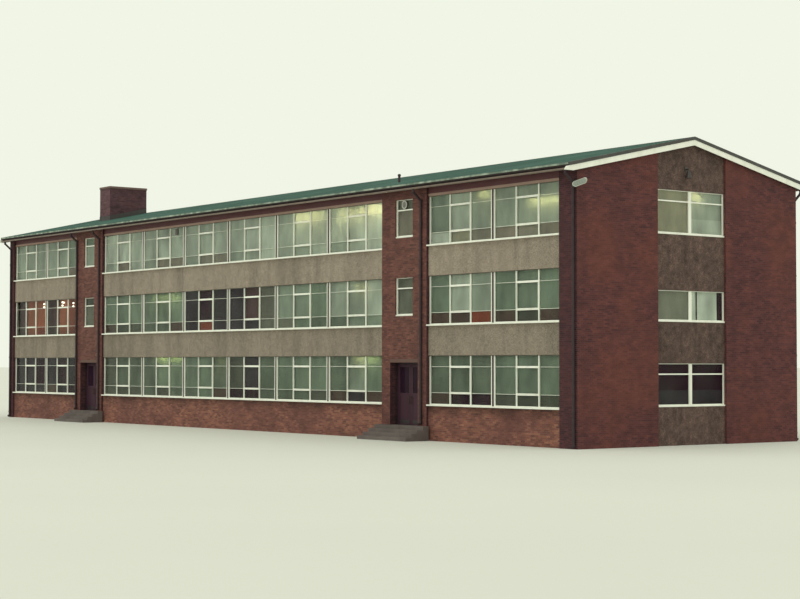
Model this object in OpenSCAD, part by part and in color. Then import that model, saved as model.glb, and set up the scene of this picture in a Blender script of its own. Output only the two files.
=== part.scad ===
/* [Plan, half of real size] */
// Width of the brick pier at the right-hand corner
right_pier_w = 500; // [300:10:900]
// Width of the brick pier at the left-hand corner
left_pier_w = 280; // [260:10:900]
// Pitch of one window bay beside a gable
end_bay_w = 2035; // [1600:5:2600]
// Pitch of one window bay in the middle
mid_bay_w = 2135; // [1600:5:2600]
// Number of bays in the middle strip of windows
mid_bays = 6; // [3:1:6]
// Width of a brick stair bay
stair_bay_w = 1550; // [1300:10:2000]
// Depth from the front brick face to the rear one
depth = 6150; // [5000:10:8000]

/* [Storeys, half of real size] */
// Height of the ground floor above the ground
floor_h = 300; // [150:75:450]
// Height from one floor to the next
storey_h = 1650; // [1550:10:1900]
// Height of a window sill above its floor
sill_h = 450; // [350:10:600]
// Height of the classroom windows
window_h = 1010; // [800:10:1040]
// Thickness of the floor slabs
slab_t = 125; // [80:5:160]
// Thickness of the brick walls
wall_t = 140; // [120:5:200]

/* [Window walls] */
// How far the aggregate panels stand behind the brick face
panel_set_back = 50; // [20:5:70]
// How far the window frames stand behind the brick face
frame_set_back = 80; // [60:5:95]
// Depth of the window frames
frame_d = 26; // [15:1:40]
// Width of the upright frame members and of the light transoms
frame_w = 26; // [15:1:45]
// Visible height of a frame's top member
head_w = 12; // [8:1:45]
// Visible height of a frame's bottom member
foot_w = 18; // [8:1:45]
// Height of the heavy transoms in a middle light
transom_h = 38; // [15:1:60]
// Width of the post between two bays
post_w = 60; // [30:5:120]
// Thickness of the glass
glass_t = 4; // [3:1:8]
// Thickness of a window sill
sill_t = 28; // [20:1:60]
// How far a sill stands out from the brick face
sill_reach = 12; // [5:1:60]
// Height of the concrete lintel over the top windows
lintel_h = 50; // [30:5:80]

/* [Stair bays] */
// Width of a stair window
stair_window_w = 610; // [400:10:800]
// How far a stair window's frame stands behind the brick face
stair_set_back = 35; // [20:5:95]
// How far a stair window's sill stands behind the brick face
stair_sill_back = 12; // [0:2:20]
// Height of a stair window
stair_window_h = 775; // [500:5:900]
// Height of a stair window's sill above its floor
stair_sill_h = 670; // [500:5:800]
// Width of an entrance
door_w = 960; // [800:10:1100]
// Height of an entrance above its floor
door_h = 1315; // [1100:5:1350]
// Depth of the entrance recess, from the brick face to the doors
recess_d = 190; // [160:5:300]
// Height of the concrete lintel over an entrance
door_lintel_h = 75; // [50:5:100]
// Thickness of a door leaf
leaf_t = 22; // [18:1:40]
// Gap between the door leaves, and between a leaf and its frame
leaf_gap = 7; // [5:1:10]

/* [Steps] */
// Number of risers up to an entrance
risers = 4; // [2:1:6]
// Depth of one tread
tread_d = 150; // [120:5:200]
// Width of the steps
steps_w = 1700; // [1200:10:2200]

/* [Gables] */
// Width of the recessed column of panels and windows
column_w = 1910; // [1000:10:2600]
// Height of each gable window above its sill, from the ground floor up
gable_window_h = [815, 585, 840];
// Height of each gable sill above its own floor
gable_sill_h = [483, 490, 550];
// Width of the middle mullion of a gable window
gable_mullion_w = 78; // [30:1:120]

/* [Roof] */
// Height of the ridge above the ground
ridge_z = 6062; // [5900:2:6500]
// Rise of the roof in each unit of its run
roof_rise = 0.22; // [0.18:0.01:0.26]
// Vertical thickness of the roof slopes
roof_t = 60; // [40:5:80]
// How far the roof reaches past the brick at the eaves
eaves_reach = 265; // [200:5:400]
// How far the roof reaches past the gables
verge_reach = 75; // [50:5:200]
// Vertical depth of the barge boards
barge_h = 108; // [60:2:160]
// How far the lower ends of the barge boards reach past the eaves, at the top and underneath
barge_tip = [72, 117];
// Height of the level underside of those ends
barge_foot_z = 5183; // [5150:1:5200]
// Vertical depth of the dark capping on the verge
capping_h = 60; // [60:5:100]
// Distance of the fascia boards from the brick face
fascia_y = 195; // [150:5:240]
// Outer radius of the half-round gutters
gutter_r = 34; // [25:1:34]
// Height of the middle of the gutters
gutter_z = 5236; // [5220:2:5256]
// Radius of the downpipes
pipe_r = 27; // [18:1:40]

/* [Chimney] */
// Width of the chimney along the ridge
chimney_w = 630; // [400:10:900]
// Depth of the chimney down the front slope
chimney_d = 1200; // [600:10:1500]
// Height of the top of the chimney
chimney_z = 6790; // [6300:10:7200]
// Distance of the chimney's middle from the left-hand gable
chimney_from_left = 2430; // [1000:10:6000]
// Thickness of the brick round the flue
flue_wall = 110; // [80:10:150]

/* [Floodlight on the right-hand corner] */
// Length of its arm
lamp_arm = 85; // [75:5:120]
// Depth of its housing, from front to back
lamp_d = 80; // [50:5:120]
// Width of its housing
lamp_w = 285; // [150:5:350]
// Height of its housing
lamp_h = 110; // [60:5:160]
// How far it is tilted down, in degrees
lamp_tilt = 20; // [0:5:40]
// How far it leans to one side, in degrees
lamp_lean = 20; // [0:1:30]
// Cut across each corner of its face
lamp_cut = 38; // [10:1:45]

/* [Hidden] */
$fn = 48;

brick = "#6e3a2e";
dado_brick = "#96583c";
aggregate = "#8c8272";
dark_aggregate = "#4c423b";
concrete = "#a59b8c";
white_paint = "#e4e2d8";
dark_paint = "#3a3130";
green_roof = "#3f6e5c";
grey_metal = "#62605c";
pane = "#a9bfb0";
timber = "#4a3428";

end_strip_w = 2 * end_bay_w;
mid_strip_w = mid_bays * mid_bay_w;
length = right_pier_w + left_pier_w + 2 * end_strip_w + mid_strip_w + 2 * stair_bay_w;
steps_reach = risers * tread_d;
fascia_t = 15;
capping_t = 10;
// The floodlight's outer upright edge, and how far its top end stands out from the gable
lamp_edge_z = lamp_h / 2 - lamp_cut;
lamp_corner_y = lamp_w / 2 * cos(lamp_lean) - lamp_edge_z * sin(lamp_lean);
lamp_corner_z = lamp_w / 2 * sin(lamp_lean) + lamp_edge_z * cos(lamp_lean);
lamp_reach = (lamp_arm + lamp_d * cos(lamp_tilt) + lamp_corner_z * sin(lamp_tilt) + lamp_corner_y) * cos(45);
// The middle of the whole is at the origin, to the nearest millimetre
shift_x = round((verge_reach + capping_t - lamp_reach) / 2);
shift_y = round((steps_reach - eaves_reach - barge_tip[1]) / 2);
x_left = -length / 2 + shift_x;
x_right = length / 2 + shift_x;
y_front = -depth / 2 + shift_y;
y_rear = depth / 2 + shift_y;
y_ridge = shift_y;

// Left edge of each strip of windows, from the left, with its bay pitch and its number of bays
left_strip_x = x_left + left_pier_w;
left_stair_x = left_strip_x + end_strip_w;
mid_strip_x = left_stair_x + stair_bay_w;
right_stair_x = mid_strip_x + mid_strip_w;
right_strip_x = right_stair_x + stair_bay_w;
STRIPS = [[left_strip_x, end_bay_w, 2], [mid_strip_x, mid_bay_w, mid_bays], [right_strip_x, end_bay_w, 2]];
STAIRS = [left_stair_x + stair_bay_w / 2, right_stair_x + stair_bay_w / 2];
STOREYS = [0, 1, 2];
inner_l = length - 2 * wall_t;
inner_d = depth - 2 * wall_t;
infill_w = door_w;
panel_t = wall_t - panel_set_back;
light_transoms = [225, 760];
door_top = floor_h + door_h;
lintel_z = sill(2) + window_h;
frieze_z = lintel_z + lintel_h;
soffit_z = 5235;
soffit_t = 15;
wall_top = roof_top(depth / 2) - roof_t;
ceiling_t = 40;
return_w = 70;
jamb_w = 30;
jamb_d = 40;
leaf_w = (door_w - 2 * jamb_w - 3 * leaf_gap) / 2;
leaf_z = floor_h + 8;
leaf_h = door_top - jamb_w - leaf_gap - leaf_z;
// The hinge pins stand in front of the leaves' outer face, in the middle of the gap beside them
pin_proud = 5;
pin_r = 2;
pin_from_middle = door_w / 2 - jamb_w - leaf_gap / 2;
knuckle_r = 4;
knuckle_h = 18;
hinge_plate_t = 1.5;
hinge_plate_d = 15;
hinge_z = [leaf_z + 130, leaf_z + 600, leaf_z + 1110];
stile_w = 55;
glazing_z = 655;
glazing_h = 565;
pane_t = 6;
gable_frame_x = 65;
chimney_x = x_left + chimney_from_left;
// Distances from the ridge to the edge of the roof and to the face of the fascia
eave = depth / 2 + eaves_reach;
fascia = depth / 2 + fascia_y;

function floor_z(storey) = floor_h + storey * storey_h;
function sill(storey) = floor_z(storey) + sill_h;
function stair_sill(storey) = floor_z(storey) + stair_sill_h;
function gable_sill(storey) = floor_z(storey) + gable_sill_h[storey];
function gable_head(storey) = gable_sill(storey) + gable_window_h[storey];
// Height of the roof's upper face at a distance from the ridge
function roof_top(from_ridge) = ridge_z - roof_rise * abs(from_ridge);
function roof_under(from_ridge) = roof_top(from_ridge) - roof_t;

// A box given by its low corner and its size
module box(low, size) {
    translate(low) cube(size);
}

// Moves a piece of the front wall to the rear wall, which is its mirror image
module on_rear() {
    translate([0, 2 * y_ridge, 0]) mirror([0, 1, 0]) children();
}

module both_fronts() {
    children();
    on_rear() children();
}

// Repeats a piece of the right-hand gable on the left-hand one
module both_gables() {
    children();
    translate([x_left + x_right, 0, 0]) mirror([1, 0, 0]) children();
}

// A shape drawn across the building, in Y and Z, and drawn out along X
module across(low_x, run) {
    translate([low_x, y_ridge, 0]) rotate([90, 0, 90]) linear_extrude(run) children();
}

// Brick piers of full height: two at each corner line and two in each stair bay
module brick_piers() {
    side_w = (stair_bay_w - infill_w) / 2;
    color(brick) both_fronts() {
        box([x_left + wall_t, y_front, 0], [left_pier_w - wall_t, wall_t, wall_top]);
        box([x_right - right_pier_w, y_front, 0], [right_pier_w - wall_t, wall_t, wall_top]);
        for (x = STAIRS, side = [-1, 1])
            box([x - side_w / 2 + side * (infill_w + side_w) / 2, y_front, 0], [side_w, wall_t, wall_top]);
    }
}

// Brick between the piers of one stair bay, from a height up, with its windows cut through
module infill(x, low_z, storeys) {
    difference() {
        box([x - infill_w / 2, y_front, low_z], [infill_w, wall_t, wall_top - low_z]);
        for (s = storeys)
            box([x - stair_window_w / 2, y_front - 1, stair_sill(s) - sill_t],
                [stair_window_w, wall_t + 2, stair_window_h + sill_t]);
    }
}

module stair_bay_infill() {
    color(brick) {
        for (x = STAIRS) {
            infill(x, door_top + door_lintel_h, [1, 2]);
            on_rear() infill(x, 0, STOREYS);
        }
    }
}

// Brick below the ground floor's classroom windows
module dado_walls() {
    color(dado_brick) both_fronts()
        for (s = STRIPS)
            box([s[0], y_front + panel_set_back, 0], [s[1] * s[2], panel_t, sill(0) - sill_t]);
}

// Pebble-faced panels between one storey's windows and the next
module spandrel_panels() {
    color(aggregate) both_fronts()
        for (s = STRIPS, storey = [1, 2]) {
            head = sill(storey - 1) + window_h;
            panel_h = sill(storey) - sill_t - head;
            box([s[0], y_front + panel_set_back, head], [s[1] * s[2], panel_t, panel_h]);
        }
}

// Concrete over the top windows and over the entrances, where it is the porch's ceiling too
module lintels() {
    color(concrete) {
        both_fronts()
            for (s = STRIPS)
                box([s[0], y_front + panel_set_back, lintel_z], [s[1] * s[2], panel_t, lintel_h]);
        for (x = STAIRS)
            box([x - door_w / 2, y_front - 5, door_top], [door_w, recess_d + jamb_d + 5, door_lintel_h]);
    }
}

// Dark boards between the lintels and the eaves
module frieze_boards() {
    color(dark_paint) both_fronts()
        for (s = STRIPS)
            box([s[0], y_front + panel_set_back, frieze_z], [s[1] * s[2], panel_t, wall_top - frieze_z]);
}

// Half of a gable's brick, beside the recessed column, up to the underside of the roof
module gable_flank() {
    across(x_right - wall_t, wall_t)
        polygon([[-depth / 2, 0], [-column_w / 2, 0], [-column_w / 2, roof_under(column_w / 2)],
                 [-depth / 2, roof_under(depth / 2)]]);
}

module gable_walls() {
    color(brick) both_gables() both_fronts() gable_flank();
}

// Dark pebble-faced panels under, between and over the gable windows
module gable_panels() {
    x = x_right - wall_t;
    color(dark_aggregate) both_gables() {
        for (s = STOREYS) {
            low = s == 0 ? 0 : gable_head(s - 1);
            box([x, y_ridge - column_w / 2, low], [panel_t, column_w, gable_sill(s) - sill_t - low]);
        }
        across(x, panel_t)
            polygon([[-column_w / 2, gable_head(2)], [column_w / 2, gable_head(2)],
                     [column_w / 2, roof_under(column_w / 2)], [0, roof_under(0)],
                     [-column_w / 2, roof_under(column_w / 2)]]);
    }
}

// A slab between the walls, with its upper face at a height
module slab(top, thickness) {
    box([x_left + wall_t, y_front + wall_t, top - thickness], [inner_l, inner_d, thickness]);
}

module floor_slabs() {
    color(concrete) for (storey = STOREYS) slab(floor_z(storey), slab_t);
}

module top_ceiling() {
    color(concrete) slab(frieze_z + ceiling_t, ceiling_t);
}

// The frame of one bay, flat in X and Z: three lights, of which the middle one has two heavy transoms
module bay_frame(width) {
    light_w = (width - 4 * frame_w) / 3;
    light_h = window_h - foot_w - head_w;
    pitch = light_w + frame_w;
    difference() {
        square([width, window_h]);
        for (i = [0, 2]) translate([frame_w + i * pitch, foot_w]) square([light_w, light_h]);
        translate([frame_w + pitch, 0]) {
            translate([0, foot_w]) square([light_w, light_transoms[0] - foot_w]);
            translate([0, light_transoms[0] + transom_h])
                square([light_w, light_transoms[1] - light_transoms[0] - transom_h]);
            translate([0, light_transoms[1] + transom_h])
                square([light_w, window_h - head_w - light_transoms[1] - transom_h]);
        }
    }
}

// Every bay's frame on the front wall, between the jambs and the posts
module wall_frames() {
    for (s = STRIPS, storey = STOREYS, bay = [0 : s[2] - 1]) {
        left_cut = bay == 0 ? 0 : post_w / 2;
        right_cut = bay == s[2] - 1 ? 0 : post_w / 2;
        translate([s[0] + bay * s[1] + left_cut, y_front + frame_set_back + frame_d, sill(storey)])
            rotate([90, 0, 0]) linear_extrude(frame_d) bay_frame(s[1] - left_cut - right_cut);
    }
}

module classroom_window_frames() {
    color(white_paint) both_fronts() wall_frames();
}

// Dark posts between the bays of a strip
module bay_posts() {
    color(dark_paint) both_fronts()
        for (s = STRIPS, storey = STOREYS, bay = [1 : s[2] - 1])
            box([s[0] + bay * s[1] - post_w / 2, y_front + frame_set_back, sill(storey)],
                [post_w, frame_d, window_h]);
}

// A frame of two panes, one over the other, flat in X and Z
module stair_frame() {
    transom_z = stair_window_h * 0.7;
    difference() {
        square([stair_window_w, stair_window_h]);
        translate([frame_w, foot_w]) square([stair_window_w - 2 * frame_w, transom_z - foot_w]);
        translate([frame_w, transom_z + frame_w])
            square([stair_window_w - 2 * frame_w, stair_window_h - transom_z - frame_w - head_w]);
    }
}

// Places a flat outline in a stair bay's window of one storey
module at_stair_window(x, storey, face, thickness) {
    translate([x - stair_window_w / 2, y_front + face + thickness, stair_sill(storey)])
        rotate([90, 0, 0]) linear_extrude(thickness) children();
}

module stair_window_frames() {
    color(white_paint) for (x = STAIRS) {
        for (s = [1, 2]) at_stair_window(x, s, stair_set_back, frame_d) stair_frame();
        on_rear() for (s = STOREYS) at_stair_window(x, s, stair_set_back, frame_d) stair_frame();
    }
}

// The frame of a gable window, flat in Y and Z: two lights, with a transom unless it is the first floor's
module gable_frame(storey) {
    height = gable_window_h[storey];
    light_w = (column_w - gable_mullion_w) / 2 - frame_w;
    transom_z = height * 0.73;
    low_h = (storey == 1 ? height - head_w : transom_z) - foot_w;
    difference() {
        square([column_w, height]);
        for (low = [frame_w, column_w - frame_w - light_w]) {
            translate([low, foot_w]) square([light_w, low_h]);
            if (storey != 1)
                translate([low, transom_z + frame_w]) square([light_w, height - transom_z - frame_w - head_w]);
        }
    }
}

module gable_window_frames() {
    color(white_paint) both_gables()
        for (s = STOREYS)
            translate([x_right - gable_frame_x - frame_d, y_ridge - column_w / 2, gable_sill(s)])
                rotate([90, 0, 90]) linear_extrude(frame_d) gable_frame(s);
}

// White sills under every window
module window_sills() {
    color(white_paint) {
        both_fronts() {
            for (s = STRIPS, storey = STOREYS)
                box([s[0], y_front - sill_reach, sill(storey) - sill_t],
                    [s[1] * s[2], wall_t + sill_reach, sill_t]);
            for (x = STAIRS, s = [1, 2]) stair_window_sill(x, s);
        }
        on_rear() for (x = STAIRS) stair_window_sill(x, 0);
        both_gables()
            for (s = STOREYS)
                box([x_right - wall_t, y_ridge - column_w / 2, gable_sill(s) - sill_t],
                    [wall_t - panel_set_back + sill_reach, column_w, sill_t]);
    }
}

module stair_window_sill(x, storey) {
    box([x - stair_window_w / 2, y_front + stair_sill_back, stair_sill(storey) - sill_t],
        [stair_window_w, wall_t - stair_sill_back, sill_t]);
}

// Every sheet of glass of one storey, just behind its frames
module storey_glass(storey) {
    glass_y = y_front + frame_set_back + frame_d;
    color(pane) {
        both_fronts() for (s = STRIPS) box([s[0], glass_y, sill(storey)], [s[1] * s[2], glass_t, window_h]);
        for (x = STAIRS) {
            if (storey > 0) stair_glass(x, storey);
            on_rear() stair_glass(x, storey);
        }
        both_gables()
            box([x_right - gable_frame_x - frame_d - glass_t, y_ridge - column_w / 2, gable_sill(storey)],
                [glass_t, column_w, gable_window_h[storey]]);
    }
}

module stair_glass(x, storey) {
    at_stair_window(x, storey, stair_set_back + frame_d, glass_t) square([stair_window_w, stair_window_h]);
}

module ground_glass() {
    storey_glass(0);
}

module first_glass() {
    storey_glass(1);
}

module top_glass() {
    storey_glass(2);
}

// Brick returns on both sides of each entrance recess
module porch_returns() {
    color(brick)
        for (x = STAIRS, side = [-1, 1])
            box([x + side * (door_w + return_w) / 2 - return_w / 2, y_front + wall_t, floor_h],
                [return_w, recess_d + jamb_d - wall_t, door_h + door_lintel_h]);
}

module door_jambs() {
    color(timber)
        for (x = STAIRS, side = [-1, 1])
            box([x + side * (door_w - jamb_w) / 2 - jamb_w / 2, y_front + recess_d, floor_h],
                [jamb_w, jamb_d, door_h]);
}

module door_heads() {
    color(timber)
        for (x = STAIRS)
            box([x - door_w / 2 + jamb_w, y_front + recess_d, door_top - jamb_w],
                [door_w - 2 * jamb_w, jamb_d, jamb_w]);
}

// Concrete steps up to each entrance, with the threshold through the wall
module door_steps() {
    rise = floor_h / risers;
    color(concrete)
        for (x = STAIRS) {
            for (i = [1 : risers])
                box([x - steps_w / 2, y_front - i * tread_d, 0],
                    [steps_w, i * tread_d, floor_h - (i - 1) * rise]);
            box([x - door_w / 2, y_front, 0], [door_w, wall_t, floor_h]);
        }
}

// Low X corner of a door leaf: side is -1 for the left-hand leaf of a pair and 1 for the right-hand one
function leaf_x(x, side) = side < 0 ? x - leaf_gap / 2 - leaf_w : x + leaf_gap / 2;

// Puts a leaf's hinge parts on their pin: X is out of the doorway, for a leaf on either side
module at_pin(x, side, z) {
    translate([x + side * pin_from_middle, y_front + recess_d - pin_proud, z])
        mirror([side < 0 ? 1 : 0, 0, 0]) children();
}

// The half of a hinge on the frame: a plate, two knuckles and the pin through all three
module frame_hinge() {
    play = 0.5;
    plate_x = leaf_gap / 2 - hinge_plate_t;
    for (z = [-1.5 * knuckle_h - play, 0.5 * knuckle_h + play]) {
        translate([0, 0, z]) cylinder(r = knuckle_r, h = knuckle_h);
        box([plate_x, 0, z], [hinge_plate_t, pin_proud + 1, knuckle_h]);
    }
    translate([0, 0, -1.5 * knuckle_h - play]) cylinder(r = pin_r, h = 3 * knuckle_h + 2 * play + 3);
    box([plate_x, pin_proud, -1.5 * knuckle_h - play],
        [hinge_plate_t, hinge_plate_d, 3 * knuckle_h + 2 * play]);
}

// The half of a hinge on the leaf: a plate and the middle knuckle, bored for the pin
module leaf_hinge() {
    difference() {
        union() {
            translate([0, 0, -knuckle_h / 2]) cylinder(r = knuckle_r, h = knuckle_h);
            box([-leaf_gap / 2, 0, -knuckle_h / 2], [hinge_plate_t, pin_proud + 1, knuckle_h]);
        }
        translate([0, 0, -knuckle_h]) cylinder(r = pin_r + 0.5, h = 2 * knuckle_h);
    }
    box([-leaf_gap / 2, pin_proud, -1.5 * knuckle_h], [hinge_plate_t, hinge_plate_d, 3 * knuckle_h]);
}

module door_hinges() {
    color(timber)
        for (x = STAIRS, side = [-1, 1], z = hinge_z) at_pin(x, side, z) frame_hinge();
}

// A bar on two feet, to pull a leaf open by, on its meeting stile
module pull_handle(x, side) {
    bar_r = 6;
    proud = 32;
    bar_h = 150;
    bar_z = floor_h + 450;
    translate([x + side * (leaf_gap + stile_w) / 2, y_front + recess_d, bar_z]) {
        translate([0, -proud, 0]) cylinder(r = bar_r, h = bar_h);
        for (z = [15, bar_h - 15])
            translate([0, 1, z]) rotate([90, 0, 0]) cylinder(r = bar_r - 1, h = proud + 1);
    }
}

// A timber leaf on its hinges, glazed above, with a sunk panel on each face below and a pull outside
module leaf(x, side) {
    low = [leaf_x(x, side), y_front + recess_d, leaf_z];
    panel_h = glazing_z - 3 * stile_w;
    sink = 5;
    color(timber) {
        difference() {
            box(low, [leaf_w, leaf_t, leaf_h]);
            box(low + [stile_w, -1, glazing_z], [leaf_w - 2 * stile_w, leaf_t + 2, glazing_h]);
            for (y = [-1, leaf_t - sink])
                box(low + [stile_w, y, 2 * stile_w], [leaf_w - 2 * stile_w, sink + 1, panel_h]);
        }
        for (z = hinge_z) at_pin(x, side, z) leaf_hinge();
        pull_handle(x, side);
    }
}

module leaf_pane(x, side) {
    low = [leaf_x(x, side) + stile_w, y_front + recess_d + (leaf_t - pane_t) / 2, leaf_z + glazing_z];
    color(pane) box(low, [leaf_w - 2 * stile_w, pane_t, glazing_h]);
}

module right_entrance_left_leaf() {
    leaf(STAIRS[1], -1);
}

module right_entrance_left_pane() {
    leaf_pane(STAIRS[1], -1);
}

module right_entrance_right_leaf() {
    leaf(STAIRS[1], 1);
}

module right_entrance_right_pane() {
    leaf_pane(STAIRS[1], 1);
}

module left_entrance_left_leaf() {
    leaf(STAIRS[0], -1);
}

module left_entrance_left_pane() {
    leaf_pane(STAIRS[0], -1);
}

module left_entrance_right_leaf() {
    leaf(STAIRS[0], 1);
}

module left_entrance_right_pane() {
    leaf_pane(STAIRS[0], 1);
}

// One roof slope: side is -1 at the front and 1 at the rear
module roof_slope(side) {
    color(green_roof) across(x_left - verge_reach, length + 2 * verge_reach)
        polygon([[0, roof_top(0)], [side * eave, roof_top(eave)], [side * eave, roof_under(eave)],
                 [0, roof_under(0)]]);
}

module front_roof_slope() {
    roof_slope(-1);
}

module rear_roof_slope() {
    roof_slope(1);
}

// An outline that follows one slope, between two distances from the ridge and two depths below the
// roof's upper face
module rake(near, far, high, low) {
    polygon([[near, roof_top(near) - high], [far, roof_top(far) - high], [far, roof_top(far) - low],
             [near, roof_top(near) - low]]);
}

// Dark metal capping down both verges, and along the ridge up to the chimney and past it. The lengths
// stop a little short of one another, as cut lengths of metal do.
module roof_edge_capping() {
    lap = 5;
    verge_w = 45;
    ridge_w = 60;
    joint = 2;
    ridge_x = x_left - verge_reach + verge_w + joint;
    color(dark_paint) {
        both_gables() both_fronts() {
            across(x_right + verge_reach, capping_t) mirror([1, 0]) rake(joint, eave, -lap, capping_h);
            across(x_right + verge_reach - verge_w, verge_w) mirror([1, 0]) rake(joint, eave, -lap, 0);
        }
        difference() {
            across(ridge_x, length + 2 * (verge_reach - verge_w - joint)) {
                rake(0, ridge_w, -lap, 0);
                mirror([1, 0]) rake(0, ridge_w, -lap, 0);
            }
            box([chimney_x - chimney_w / 2 - 20, y_ridge - ridge_w - 1, 0],
                [chimney_w + 40, ridge_w + 1, chimney_z]);
        }
    }
}

// A barge board down one slope: its end is level underneath and slants out over the gutter's end
module barge_board_outline() {
    level_from = (ridge_z - roof_t - barge_h - barge_foot_z) / roof_rise;
    tip = [eave + barge_tip[0], eave + barge_tip[1]];
    polygon([[0, roof_under(0)], [tip[0], roof_under(tip[0])], [tip[1], barge_foot_z],
             [level_from, barge_foot_z], [0, roof_under(0) - barge_h]]);
}

// White boards under the capping, down both slopes of each gable
module barge_boards() {
    board_t = 15;
    color(white_paint) both_gables()
        across(x_right + verge_reach - board_t, board_t) {
            barge_board_outline();
            mirror([1, 0]) barge_board_outline();
        }
}

// Fascia and soffit under the edge of each slope
module eaves_boards() {
    back = fascia - fascia_t;
    soffit_top = soffit_z + soffit_t;
    color(dark_paint) both_fronts()
        between_barge_boards()
            polygon([[-depth / 2, soffit_z], [-fascia, soffit_z], [-fascia, roof_under(fascia)],
                     [-back, roof_under(back)], [-back, soffit_top], [-depth / 2, soffit_top]]);
}

// Draws a shape out along both eaves' whole length, from one barge board to the other
module between_barge_boards() {
    across(x_left - verge_reach + 15, length + 2 * verge_reach - 30) children();
}

// Half-round gutters along both eaves
module gutters() {
    wall = 4;
    color(grey_metal) both_fronts()
        between_barge_boards()
            translate([-fascia - gutter_r, gutter_z]) difference() {
                circle(gutter_r);
                circle(gutter_r - wall);
                translate([-gutter_r - 1, 0]) square([2 * gutter_r + 2, gutter_r + 1]);
            }
}

// A downpipe on the front wall: a swan neck in from the gutter, a shoe at its foot, a socket at each bend
// and joint, and a lug behind each straight socket that holds it to the wall
module downpipe(x, foot_z) {
    wall_gap = 12;
    socket_h = 45;
    lug_w = 26;
    pipe_y = y_front - wall_gap - pipe_r;
    outlet_y = y_front - fascia_y - gutter_r;
    outlet_z = gutter_z - gutter_r;
    neck_top = outlet_z - 60;
    neck_low = neck_top - 165;
    reach = pipe_y - outlet_y;
    drop = neck_top - neck_low;
    shoe_run = 55;
    joint_r = pipe_r + 6;
    translate([x, outlet_y, neck_top]) cylinder(r = pipe_r, h = outlet_z - neck_top);
    translate([x, outlet_y, neck_top]) sphere(joint_r);
    translate([x, pipe_y, neck_low]) rotate([atan2(reach, drop), 0, 0])
        cylinder(r = pipe_r, h = norm([reach, drop]));
    translate([x, pipe_y, neck_low]) sphere(joint_r);
    translate([x, pipe_y, foot_z]) cylinder(r = pipe_r, h = neck_low - foot_z);
    translate([x, pipe_y, foot_z]) sphere(joint_r);
    translate([x, pipe_y, foot_z]) rotate([115, 0, 0]) cylinder(r = pipe_r, h = shoe_run);
    for (z = [foot_z + 90, floor_z(1) - 200, floor_z(2) - 200, floor_z(2) + 900]) {
        translate([x, pipe_y, z]) cylinder(r = joint_r, h = socket_h);
        box([x - lug_w / 2, pipe_y, z + 10], [lug_w, wall_gap + pipe_r, socket_h - 20]);
    }
}

module downpipes() {
    foot_z = 60;
    corners = [x_left + 140, x_right - 70];
    stair_sides = [STAIRS[0] - 680, STAIRS[0] + 640, STAIRS[1] + 620];
    color(dark_paint) {
        for (x = corners) downpipe(x, foot_z);
        for (x = stair_sides) downpipe(x, floor_h + foot_z);
        on_rear() for (x = concat(corners, stair_sides)) downpipe(x, foot_z);
    }
}

// Brick chimney on the front slope, up to the ridge, with oversailing courses at its top and an open flue
module chimney_stack() {
    oversail_h = 60;
    oversail = 14;
    flue_low = ridge_z + 20;
    color(brick) difference() {
        union() {
            across(chimney_x - chimney_w / 2, chimney_w)
                polygon([[-chimney_d, roof_top(chimney_d)], [0, roof_top(0)], [0, chimney_z],
                         [-chimney_d, chimney_z]]);
            chimney_block(oversail, chimney_z - oversail_h, chimney_z);
        }
        chimney_block(-flue_wall, flue_low, chimney_z + 1);
    }
}

// An upright block on the chimney's plan, grown or shrunk all round, between two heights
module chimney_block(grow, low, high) {
    box([chimney_x - chimney_w / 2 - grow, y_ridge - chimney_d - grow, low],
        [chimney_w + 2 * grow, chimney_d + 2 * grow, high - low]);
}

// Metal skirt where the chimney meets the slope
module chimney_flashing() {
    height = 130;
    thickness = 8;
    foot = chimney_d + thickness;
    color(green_roof) difference() {
        across(chimney_x - chimney_w / 2 - thickness, chimney_w + 2 * thickness)
            mirror([1, 0]) rake(0, foot, -height, 0);
        box([chimney_x - chimney_w / 2, y_ridge - chimney_d, 0], [chimney_w, chimney_d + 1, chimney_z]);
    }
}

// Pipe through the front slope, with a collar near its top
module roof_vent_pipe() {
    from_ridge = 2248;
    height = 180;
    vent_r = 27;
    collar_r = 36;
    collar_h = 30;
    collar_from_top = 45;
    color(dark_paint) difference() {
        translate([right_stair_x - 490, y_ridge - from_ridge, roof_top(from_ridge) - roof_t]) {
            cylinder(r = vent_r, h = roof_t + height);
            translate([0, 0, roof_t + height - collar_from_top]) cylinder(r = collar_r, h = collar_h);
        }
        across(0, length) polygon([[-depth, 0], [0, 0], [0, roof_top(0)], [-depth, roof_top(depth)]]);
    }
}

// The outline of the floodlight's face, in Y and Z, with its corners cut, shrunk all round by an inset
module lamp_face(inset) {
    y = lamp_w / 2 - inset;
    z = lamp_h / 2 - inset;
    cut = lamp_cut - inset * 0.6;
    polygon([[-y, cut - z], [cut - y, -z], [y - cut, -z], [y, cut - z], [y, z - cut], [y - cut, z],
             [cut - y, z], [-y, z - cut]]);
}

// Draws a face of the floodlight out forwards, from a distance in front of its back
module lamp_forward(from, run) {
    translate([from, 0, 0]) rotate([90, 0, 90]) linear_extrude(run) children();
}

// A floodlight: its back is lower than its front, and a rim stands proud round its glass
module floodlight() {
    back_h = lamp_h * 0.6;
    rim_w = 8;
    rim_d = 14;
    difference() {
        rotate([90, 0, 0]) linear_extrude(lamp_w, center = true)
            polygon([[0, -back_h / 2], [lamp_d, -lamp_h / 2], [lamp_d, lamp_h / 2], [0, back_h / 2]]);
        lamp_forward(-1, lamp_d + 2) difference() {
            square([lamp_w + 10, lamp_h + 10], center = true);
            lamp_face(0);
        }
        lamp_forward(lamp_d - rim_d, rim_d + 1) lamp_face(rim_w);
    }
}

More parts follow.
